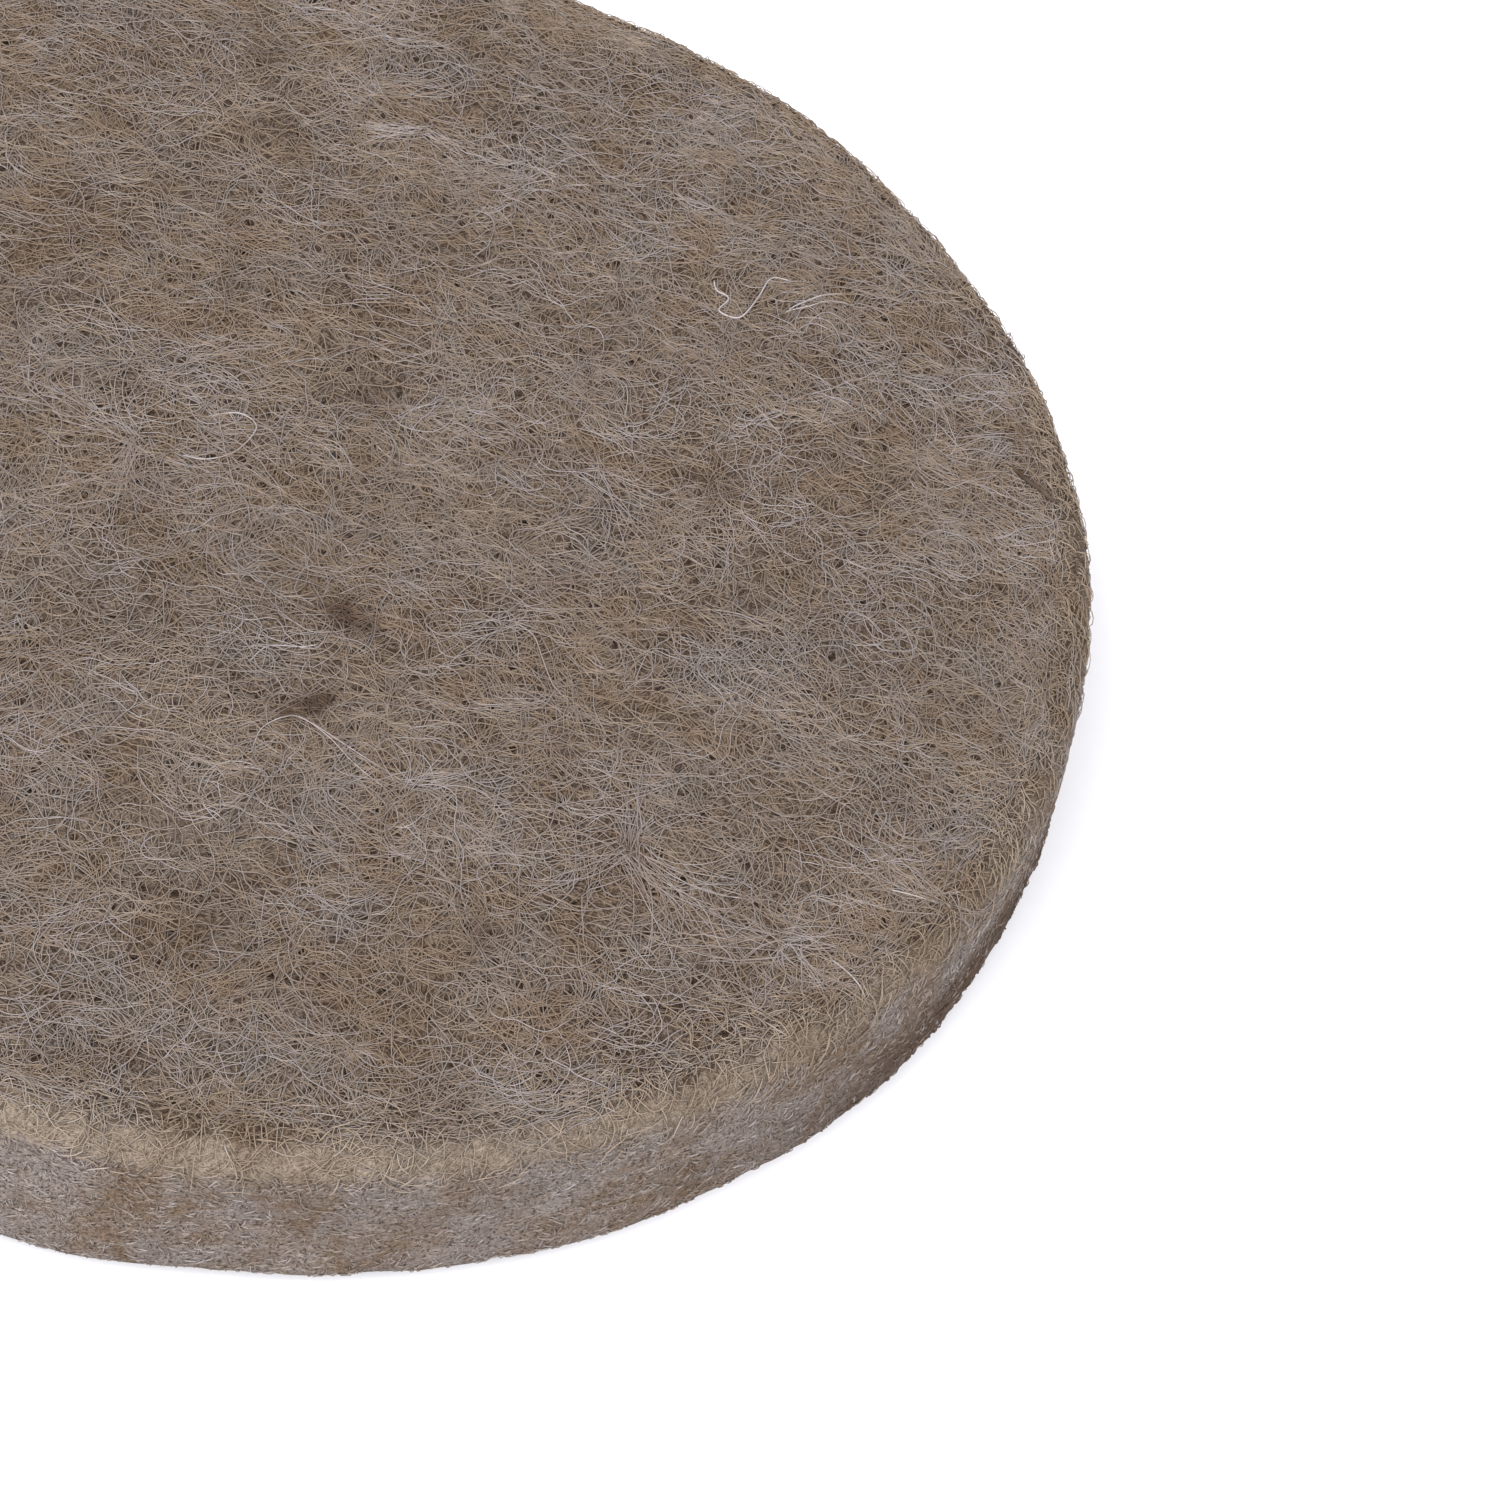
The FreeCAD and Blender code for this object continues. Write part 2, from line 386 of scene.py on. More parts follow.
def strand_group() -> bpy.types.NodeTree:
    """Strands that lie across each other in the felt's plane, at several headings.

    Returns:
        The group, whose outputs are Strand, 1 on a strand's back, and Depth, the felt's relief.
    """
    outputs = dict.fromkeys(("Strand", "Depth"), "NodeSocketFloat")
    inputs = {"Length": 0.0035, "Width": 0.00013}
    group, graph, start, end = new_group("wool_strands", inputs, outputs)
    spot = start.outputs["Vector"]
    swirl = graph.add("TexNoise", {"Vector": spot, "Scale": 420.0, "Detail": 1.0}).outputs["Color"]
    centred = graph.vector("SUBTRACT", swirl, (0.5, 0.5, 0.5))
    pushed = graph.add("VectorMath", {0: centred, "Scale": 0.0016}, operation="SCALE").outputs[0]
    curled = graph.vector("ADD", spot, pushed)
    along = graph.math("DIVIDE", 1.0, start.outputs["Length"])
    across = graph.math("DIVIDE", 1.0, start.outputs["Width"])
    squeeze = graph.add("CombineXYZ", {0: along, 1: across, 2: across}).outputs[0]
    strand = None
    depth = None
    for layer, heading in enumerate((0.2, 1.0, 1.7, 2.5)):
        turned = graph.add(
            "VectorRotate", {"Vector": curled, "Angle": heading}, rotation_type="Z_AXIS"
        ).outputs[0]
        slid = graph.vector("ADD", turned, (0.003 * layer, 0.01 * layer, 0.0))
        stretched = graph.vector("MULTIPLY", slid, squeeze)
        cells = graph.add("TexVoronoi", {"Vector": stretched, "Scale": 1.0}, feature="F1")
        ridge = graph.fade(cells.outputs["Distance"], 0.62, 0.12)
        strand = ridge if strand is None else graph.math("MAXIMUM", strand, ridge)
        depth = ridge if depth is None else graph.math("ADD", depth, ridge)
    graph.connect(end, {"Strand": strand, "Depth": depth})
    return group


def around_group() -> bpy.types.NodeTree:
    """Coordinates that run around the wheel and up its rim, for streaks along the rim.

    Returns:
        The group, whose output is Around.
    """
    inputs = {"Radius": 0.0254, "Length": 0.0016, "Width": 0.0003}
    group, graph, start, end = new_group("around_the_rim", inputs, {"Around": "NodeSocketVector"})
    parts = graph.add("SeparateXYZ", {0: start.outputs["Vector"]}).outputs
    turn = graph.math("ARCTAN2", parts["Y"], parts["X"])
    arc = graph.math("MULTIPLY", turn, start.outputs["Radius"])
    along = graph.math("DIVIDE", arc, start.outputs["Length"])
    up = graph.math("DIVIDE", parts["Z"], start.outputs["Width"])
    placed = graph.add("CombineXYZ", {0: along, 1: up, 2: 0.0}).outputs[0]
    graph.connect(end, {"Around": placed})
    return group


def scratch_group() -> bpy.types.NodeTree:
    """Fine marks on turned or plated steel: rings about the axis and random rub marks.

    Returns:
        The group, whose outputs are Rings, Rubs and Stain.
    """
    outputs = dict.fromkeys(("Rings", "Rubs", "Stain"), "NodeSocketFloat")
    group, graph, start, end = new_group("steel_marks", {"Pitch": 0.00012}, outputs)
    spot = start.outputs["Vector"]
    flat = graph.vector("MULTIPLY", spot, (1.0, 1.0, 0.0))
    radius = graph.add("VectorMath", {0: flat}, operation="LENGTH").outputs["Value"]
    pitch = graph.math("DIVIDE", radius, start.outputs["Pitch"])
    rings = graph.add("TexNoise", {"W": pitch, "Scale": 1.0, "Detail": 3.0}, noise_dimensions="1D")
    swept = graph.vector("MULTIPLY", spot, (9000.0, 700.0, 700.0))
    rubs = graph.add("TexNoise", {"Vector": swept, "Scale": 1.0, "Detail": 2.0, "Distortion": 1.2})
    stain = graph.noise(spot, 0.004, 5.0, 0.6)
    results = {
        "Rings": rings.outputs["Fac"],
        "Rubs": graph.fade(rubs.outputs["Fac"], 0.6, 0.72),
        "Stain": graph.fade(stain, 0.4, 0.7),
    }
    graph.connect(end, results)
    return group


class Shared:
    """The node groups that more than one finish uses, each built once."""

    def __init__(self) -> None:
        """Builds the groups."""
        self.cloud = wool_cloud_group()
        self.strands = strand_group()
        self.around = around_group()
        self.marks = scratch_group()


def start_material(
    name: str,
) -> tuple[bpy.types.Material, Graph, bpy.types.Node, bpy.types.NodeSocket]:
    """Starts a material with its shader and its coordinates.

    Args:
        name: the finish's name.

    Returns:
        The material, its graph, its Principled shader and the Object coordinates' socket.
    """
    material = bpy.data.materials.new(name)
    material.use_nodes = True
    graph = Graph(material.node_tree)
    shader = graph.add("BsdfPrincipled")
    graph.add("OutputMaterial", {"Surface": shader.outputs["BSDF"]})
    spot = graph.add("TexCoord").outputs["Object"]
    return material, graph, shader, spot


@dataclass(frozen=True)
class WoolFinish:
    """The solid felt under the loose fibres."""

    name: str
    # deep is the colour of the painted shade in gaps and pits, and also of stains and the rim's
    # dark grains.
    deep: Colour = (80, 66, 55)
    warm: Colour = (116, 98, 81)
    grey: Colour = (118, 109, 103)
    back: Colour = (121, 107, 94)
    # The colour of the painted highlight on the shoulder.
    edge: Colour = (151, 137, 121)
    rim: Colour = (133, 123, 116)
    streak: Colour = (147, 141, 138)
    strand_length: float = 3.0 * MM
    strand_width: float = 0.1 * MM
    bump: float = 0.09 * MM

    def build(self, shared: Shared) -> bpy.types.Material:
        """Makes the material: cloudy colour, crossed strands, painted shade in their gaps and in
        the pits, a painted highlight on the shoulder, and a streaky cut rim.

        Args:
            shared: the shared node groups.

        Returns:
            The material.
        """
        material, graph, shader, spot = start_material(self.name)
        cloud = graph.add("Group", {"Vector": spot, "Size": CLOUD_SIZE}, node_tree=shared.cloud)
        lay = {"Vector": spot, "Length": self.strand_length, "Width": self.strand_width}
        strands = graph.add("Group", lay, node_tree=shared.strands)
        around = graph.add("Group", {"Vector": spot}, node_tree=shared.around).outputs["Around"]
        face = graph.attribute("face")
        pit = graph.attribute("hollow")
        ground = graph.blend(cloud.outputs["Warm"], linear(*self.back), linear(*self.warm))
        ground = graph.blend(cloud.outputs["Grey"], ground, linear(*self.grey))
        # Painted shade: the felt takes its deep colour in the gaps between strands and in the pits,
        # where shade falls.
        hollow = graph.math("MULTIPLY", cloud.outputs["Speck"], strands.outputs["Strand"])
        raised = graph.fade(hollow, 0.0, 0.42)
        matted = graph.blend(raised, linear(*self.deep), ground)
        jagged = graph.math("MULTIPLY_ADD", cloud.outputs["Speck"], -0.3, pit)
        matted = graph.blend(graph.fade(jagged, 0.15, 0.5), matted, linear(*self.deep))
        streaks = graph.fade(graph.noise(around, 0.9, 4.0, 0.6), 0.5, 0.68)
        grains = graph.noise(spot, 0.00011, 2.0, 0.6)
        cut = graph.blend(cloud.outputs["Warm"], linear(*self.rim), linear(*self.warm))
        cut = graph.blend(graph.math("MULTIPLY", streaks, 0.5), cut, linear(*self.streak))
        cut = graph.blend(graph.fade(grains, 0.5, 0.32), cut, linear(*self.deep))
        colour = graph.blend(graph.fade(face, 0.1, 0.8), cut, matted)
        # Painted highlight: the shoulder turns paler, mostly on the side towards the camera and the
        # key lamp.
        ragged = graph.math("MULTIPLY_ADD", cloud.outputs["Warm"], 0.07, face)
        crest = graph.math("MULTIPLY", graph.fade(face, 0.2, 0.6), graph.fade(ragged, 1.03, 0.9))
        crest = graph.math("MULTIPLY", crest, graph.fade(cloud.outputs["Speck"], -1.6, 1.2))
        crest = graph.math("MULTIPLY", crest, graph.attribute("lit_side_highlight"))
        colour = graph.blend(crest, colour, linear(*self.edge))
        # Stains, and painted shade low on one side of the heel, turn the felt towards its deep
        # colour.
        stain_and_shade = graph.math("MINIMUM", graph.attribute("stain_and_shade"), 1.0)
        colour = graph.blend(graph.math("MULTIPLY", stain_and_shade, 0.8), colour, linear(*self.deep))
        relief = graph.math("ADD", strands.outputs["Depth"], cloud.outputs["Speck"])
        relief = graph.math("ADD", relief, graph.math("MULTIPLY", grains, 0.8))
        looks = {
            "Base Color": colour,
            "Normal": graph.bump(relief, 0.9, self.bump),
            "Roughness": graph.span(raised, 1.0, 0.86),
            "Specular IOR Level": 0.06,
        }
        graph.connect(shader, looks)
        return material


@dataclass(frozen=True)
class FibreFinish:
    """One blend of loose wool fibres, whose own shade varies from fibre to fibre."""

    name: str
    dark: Colour
    middle: Colour
    light: Colour
    # The dark colour of the stains and of the painted heel shade.
    stain_and_shade_tint: Colour = (70, 51, 38)
    warm_tint: Colour = (112, 91, 69)
    grey_tint: Colour = (126, 120, 115)
    rough: float = 0.72
    streaky: bool = False

    def build(self, shared: Shared) -> bpy.types.Material:
        """Makes the material: each fibre's shade, tinted by the felt's own patches.

        Args:
            shared: the shared node groups.

        Returns:
            The material.
        """
        material, graph, shader, spot = start_material(self.name)
        shade = graph.attribute("shade")
        if self.streaky:
            around = graph.add("Group", {"Vector": spot}, node_tree=shared.around)
            streak = graph.noise(around.outputs["Around"], 0.9, 4.0, 0.6)
            shade = graph.math("MULTIPLY_ADD", graph.math("SUBTRACT", streak, 0.5), 1.6, shade)
        ramp = graph.add("ValToRGB", {"Fac": shade})
        stops = ramp.color_ramp.elements
        stops[0].color = linear(*self.dark)
        stops[1].color = linear(*self.light)
        stops.new(0.5).color = linear(*self.middle)
        cloud = graph.add("Group", {"Vector": spot, "Size": CLOUD_SIZE}, node_tree=shared.cloud)
        warmth = graph.math("MULTIPLY", cloud.outputs["Warm"], 0.4)
        colour = graph.blend(warmth, ramp.outputs["Color"], linear(*self.warm_tint))
        greyness = graph.math("MULTIPLY", cloud.outputs["Grey"], 0.3)
        colour = graph.blend(greyness, colour, linear(*self.grey_tint))
        # Stains, and painted shade low on one side of the heel, blend the fibres towards a dark
        # colour; pale fibres take less.
        stain_and_shade = graph.attribute("stain_and_shade")
        taken = graph.math("MULTIPLY", graph.math("MINIMUM", stain_and_shade, 1.0), 0.84)
        dulled = graph.math("MULTIPLY", taken, graph.fade(shade, 1.45, 0.3))
        scales = graph.noise(spot, 0.00004, 2.0, 0.6)
        looks = {
            "Base Color": graph.blend(dulled, colour, linear(*self.stain_and_shade_tint)),
            "Normal": graph.bump(scales, 0.35, 0.00001),
            "Roughness": graph.span(scales, self.rough, 0.95),
            "Specular IOR Level": 0.16,
        }
        graph.connect(shader, looks)
        return material


@dataclass(frozen=True)
class SteelFinish:
    """Plated or turned steel, with rings from the lathe, rub marks and a faint stain."""

    name: str
    clean: Colour
    stained: Colour
    pitch: float
    rough: float

    def build(self, shared: Shared) -> bpy.types.Material:
        """Makes the material.

        Args:
            shared: the shared node groups.

        Returns:
            The material.
        """
        material, graph, shader, spot = start_material(self.name)
        marks = graph.add("Group", {"Vector": spot, "Pitch": self.pitch}, node_tree=shared.marks)
        stain = graph.math("MULTIPLY", marks.outputs["Stain"], 0.7)
        spread = graph.math("MULTIPLY_ADD", marks.outputs["Stain"], 0.18, self.rough)
        relief = graph.math("ADD", marks.outputs["Rings"], marks.outputs["Rubs"])
        looks = {
            "Base Color": graph.blend(stain, linear(*self.clean), linear(*self.stained)),
            "Normal": graph.bump(relief, 0.35, 0.000006),
            "Roughness": graph.math("MULTIPLY_ADD", marks.outputs["Rubs"], -0.12, spread),
            "Metallic": 1.0,
        }
        graph.connect(shader, looks)
        return material


@dataclass(frozen=True)
class CementFinish:
    """Dried contact cement: amber, a little glossy and lumpy."""

    name: str
    thin: Colour = (150, 112, 62)
    thick: Colour = (92, 62, 34)

    def build(self) -> bpy.types.Material:
        """Makes the material.

        Returns:
            The material.
        """
        material, graph, shader, spot = start_material(self.name)
        pools = graph.noise(spot, 0.0012, 4.0, 0.6)
        pooled = graph.fade(pools, 0.35, 0.65)
        looks = {
            "Base Color": graph.blend(pooled, linear(*self.thin), linear(*self.thick)),
            "Normal": graph.bump(pools, 0.8, 0.0001),
            "Roughness": graph.span(pools, 0.25, 0.6),
        }
        graph.connect(shader, looks)
        return material


@dataclass(frozen=True)
class CanvasFinish:
    """Unbleached cotton canvas, whose yarns are in the mesh."""

    name: str
    yarn: Colour = (196, 184, 158)
    shadow: Colour = (160, 146, 120)
    # The colour of the painted shade between the yarns.
    gap: Colour = (92, 80, 60)
    stain: Colour = (150, 134, 110)

    def build(self) -> bpy.types.Material:
        """Makes the material: spun fibres, painted shade in the gaps between the yarns, and
        handling stains.

        Returns:
            The material.
        """
        material, graph, shader, spot = start_material(self.name)
        spun = graph.noise(spot, 0.00007, 3.0, 0.7)
        slub = graph.noise(spot, 0.0021, 4.0, 0.6)
        colour = graph.blend(graph.fade(spun, 0.3, 0.7), linear(*self.shadow), linear(*self.yarn))
        # Painted shade: darker where the weave lies deep between the yarns.
        hollow = graph.fade(graph.attribute("hollow"), 0.2, 1.0)
        colour = graph.blend(hollow, colour, linear(*self.gap))
        soiled = graph.math("MULTIPLY", graph.fade(slub, 0.5, 0.75), 0.5)
        looks = {
            "Base Color": graph.blend(soiled, colour, linear(*self.stain)),
            "Normal": graph.bump(spun, 0.7, 0.00004),
            "Roughness": graph.span(spun, 0.8, 1.0),
            "Specular IOR Level": 0.2,
        }
        graph.connect(shader, looks)
        return material


@dataclass(frozen=True)
class FloorFinish:
    """A plain pale table."""

    name: str = "pale_table"
    pale: Colour = (238, 239, 241)
    tooth: Colour = (228, 229, 232)

    def build(self) -> bpy.types.Material:
        """Makes the material: matt, with a barely visible tooth.

        Returns:
            The material.
        """
        material, graph, shader, spot = start_material(self.name)
        tooth = graph.noise(spot, 0.0006, 3.0, 0.6)
        share = graph.math("MULTIPLY", tooth, 0.3)
        colour = graph.blend(share, linear(*self.pale), linear(*self.tooth))
        graph.connect(shader, {"Base Color": colour, "Roughness": 0.9, "Specular IOR Level": 0.2})
        return material


# ---------------------------------------------------------------- the felt's form


@dataclass(frozen=True)
class Skin:
    """The felt's outer surface: a rim that leans in, rounded at its edge and at its heel."""

    radius: float
    bottom: float
    top: float
    draft: float = math.radians(4.0)
    shoulder: float = 1.1 * MM
    heel: float = 0.4 * MM

    def past_wall(self, out: Array, height: Array) -> Array:
        """How far points lie outside the rim's wall, in metres.

        Args:
            out: distances from the axis.
            height: heights.

        Returns:
            The signed distances.
        """
        lean = (height - self.bottom) * math.sin(self.draft)
        return (out - self.radius) * math.cos(self.draft) + lean

    def rounds(self) -> list[tuple[float, float, float, int]]:
        """Works out the rounds at the heel and at the shoulder.

        Returns:
            Each round's radius, its centre's distance and height, and 1 if it is at the top.
        """
        found = []
        for size, height, side in (
            (self.heel, self.bottom + self.heel, -1),
            (self.shoulder, self.top - self.shoulder, 1),
        ):
            away = self.radius - (size + self.past_wall(self.radius, height)) / math.cos(self.draft)
            found.append((size, away, height, side))
        return found

    def settle(self, points: Array) -> tuple[Array, Array]:
        """Brings points to the nearest place on the surface.

        Args:
            points: rows of x, y, z near the surface.

        Returns:
            The places on the surface, and the outward normals there.
        """
        out = np.hypot(points[:, 0], points[:, 1])
        turn = np.arctan2(points[:, 1], points[:, 0])
        height = points[:, 2]
        wall_out, wall_up = math.cos(self.draft), math.sin(self.draft)
        gap = -self.past_wall(out, height)
        nearest = np.stack([self.top - height, height - self.bottom, gap]).argmin(axis=0)
        normal_out = np.choose(nearest, [0.0, 0.0, wall_out])
        normal_up = np.choose(nearest, [1.0, -1.0, wall_up])
        new_out = np.choose(nearest, [out, out, out + gap * wall_out])
        new_height = np.choose(nearest, [self.top, self.bottom, height + gap * wall_up])
        for size, centre_out, centre_height, side in self.rounds():
            across, up = out - centre_out, height - centre_height
            corner = (across > 0) & ((up * wall_out - across * wall_up) * side > 0)
            reach = np.maximum(np.hypot(across, up), 1e-9)
            new_out = np.where(corner, centre_out + size * across / reach, new_out)
            new_height = np.where(corner, centre_height + size * up / reach, new_height)
            normal_out = np.where(corner, across / reach, normal_out)
            normal_up = np.where(corner, up / reach, normal_up)
        places = np.stack([new_out * np.cos(turn), new_out * np.sin(turn), new_height], 1)
        normals = np.stack([normal_out * np.cos(turn), normal_out * np.sin(turn), normal_up], 1)
        return places, normals

    def outline(self, steps: int = 8) -> list[tuple[float, float]]:
        """The half-section's points, as distance from the axis and height, from heel to face.

        Args:
            steps: how many runs each round is made of.

        Returns:
            The points in order.
        """
        heel, shoulder = self.rounds()
        points = []
        for (size, away, height, _), start, end in (
            (heel, -math.pi / 2, self.draft),
            (shoulder, self.draft, math.pi / 2),
        ):
            for step in range(steps + 1):
                angle = start + (end - start) * step / steps
                points.append((away + size * math.cos(angle), height + size * math.sin(angle)))
        return points


class Waves:
    """A smooth random value over space."""

    waves_in_layer = 24

    def __init__(self, seed: int, layers: tuple[tuple[float, float], ...]) -> None:
        """Draws the waves.

        Args:
            seed: fixes the random draw.
            layers: each layer's wavelength in metres, and its strength.
        """
        draw = np.random.default_rng(seed)
        count = self.waves_in_layer
        self.layers = []
        for wavelength, strength in layers:
            headings = unit(draw.normal(size=(count, 3)))
            pitch = 2 * math.pi / (wavelength * draw.uniform(0.7, 1.5, (count, 1)))
            phases = draw.uniform(0, 2 * math.pi, count)
            self.layers.append((headings * pitch, phases, strength * math.sqrt(2 / count)))

    def at(self, points: Array) -> Array:
        """Adds up the waves.

        Args:
            points: rows of x, y, z.

        Returns:
            The value at each point.
        """
        total = np.zeros(len(points))
        for pitch, phases, strength in self.layers:
            total += strength * np.sin(points @ pitch.T + phases).sum(axis=1)
        return total


@dataclass(frozen=True)
class Relief:
    """The felt's unevenness: its waves, and a low lip along one side of the face's edge.

    The lip stands at the distance crest from the axis, and only above the height lip_from.
    """

    waves: Waves
    crest: float
    lip: float = 0.2 * MM
    width: float = 0.75 * MM
    lip_from: float = 4.0 * MM
    heading: float = math.radians(-105)

    def at(self, points: Array) -> Array:
        """How far the surface stands out at each point, in metres.

        Args:
            points: rows of x, y, z.

        Returns:
            The heights along the skin's normal.
        """
        out = np.hypot(points[:, 0], points[:, 1])
        upper = np.clip((points[:, 2] - self.lip_from) / MM, 0, 1)
        near = np.exp(-(((out - self.crest) / self.width) ** 2))
        return self.waves.at(points) + self.lip * self.side(points) * near * upper

    def side(self, points: Array) -> Array:
        """How far each point is on the lip's side, 0 opposite the lip and 1 at its middle."""
        turn = np.arctan2(points[:, 1], points[:, 0])
        return (0.5 + 0.5 * np.cos(turn - self.heading)) ** 2


@dataclass(frozen=True)
class Pits:
    """Small hollows in the matted face that the fibres pass around, one to a cell of a grid.

    share is how many of the cells have a pit, and margin keeps a pit off its cell's border.
    """

    seed: int
    cell: float
    share: float
    size: tuple[float, float]
    depth: float = 0.12 * MM
    margin: float = 0.34
    rows: int = 80

    def nearest(self, points: Array) -> tuple[Array, Array, Array]:
        """Finds the pit of each point's own cell.

        Args:
            points: rows of x, y, z.

        Returns:
            The way from the pit to the point, its length, and the pit's radius or 0.
        """
        draw = np.random.default_rng(self.seed)
        centres = draw.uniform(self.margin, 1 - self.margin, (self.rows, self.rows, 2))
        sizes = draw.uniform(*self.size, (self.rows, self.rows))
        sizes = sizes * (draw.random((self.rows, self.rows)) < self.share)
        number = np.floor(points[:, :2] / self.cell).astype(int)
        row, column = (number % self.rows).T
        way = points[:, :2] - (number + centres[row, column]) * self.cell
        return way, np.linalg.norm(way, axis=1), sizes[row, column]

    def pass_around(self, points: Array) -> Array:
        """Moves points sideways out of the pits.

        Args:
            points: rows of x, y, z.

        Returns:
            The moved points.
        """
        way, distance, size = self.nearest(points)
        reach = self.margin * self.cell
        wider = size + distance * (1 - size / reach)
        share = np.where((distance < reach) & (size > 0), wider / np.maximum(distance, 1e-9), 1.0)
        moved = points.copy()
        moved[:, :2] += way * (share - 1)[:, None]
        return moved

    def hollow(self, points: Array) -> Array:
        """How deep in a pit each point is, 0 outside and 1 at its middle."""
        _, distance, size = self.nearest(points)
        return np.clip(1.5 - distance / np.maximum(size, 1e-9), 0, 1) * (size > 0)


def strand_mesh(name: str, track: Array, normals: Array, thickness: Array) -> bpy.types.Object:
    """Makes fibres as one mesh of closed three-sided strands with pointed ends.

    Args:
        name: the piece's name.
        track: each fibre's points.
        normals: the skin's normal at each point.
        thickness: each fibre's thickness.

    Returns:
        The new object.
    """
    fibres, length = track.shape[:2]
    along = unit(np.gradient(track, axis=1))
    side = unit(np.cross(along, normals))
    up = np.cross(side, along)
    girth = 0.5 * thickness[:, None, None]
    rings = []
    for angle in (math.pi / 2, math.pi * 7 / 6, math.pi * 11 / 6):
        rings.append(track + girth * (side * math.cos(angle) + up * math.sin(angle)))
    middle = np.stack(rings, 2)[:, 1:-1].reshape(fibres, -1, 3)
    vertices = np.concatenate([track[:, :1], middle, track[:, -1:]], 1)
    per_fibre = vertices.shape[1]
    last = 1 + 3 * (length - 3)
    pattern = []
    for corner in range(3):
        after = (corner + 1) % 3
        pattern.append([0, 1 + after, 1 + corner])
        pattern.append([last + corner, last + after, per_fibre - 1])
        for low in range(1, last, 3):
            high = low + 3
            pattern.append([low + corner, low + after, high + after, high + corner])
    faces = []
    first = np.arange(fibres)[:, None] * per_fibre
    for face in pattern:
        faces.extend((first + np.array(face)).tolist())
    return make_object(name, vertices.reshape(-1, 3), faces)


def give_shades(piece: bpy.types.Object, shades: Array) -> None:
    """Stores each fibre's shade, 0 dark to 1 pale, and the felt's stains and painted heel shade on
    its vertices.

    Args:
        piece: the fibres' object.
        shades: one shade for each fibre.
    """
    places = vertex_places(piece)
    store(piece, "shade", np.clip(np.repeat(shades, len(places) // len(shades)), 0, 1))
    store(piece, "stain_and_shade", stains_and_heel_shade(places))


class Lay(Enum):
    """Where a set of fibres lies."""

    FACE = "over the working face, ending at its edge"
    EDGE = "along the edge of the working face"
    RIM = "around the rim"


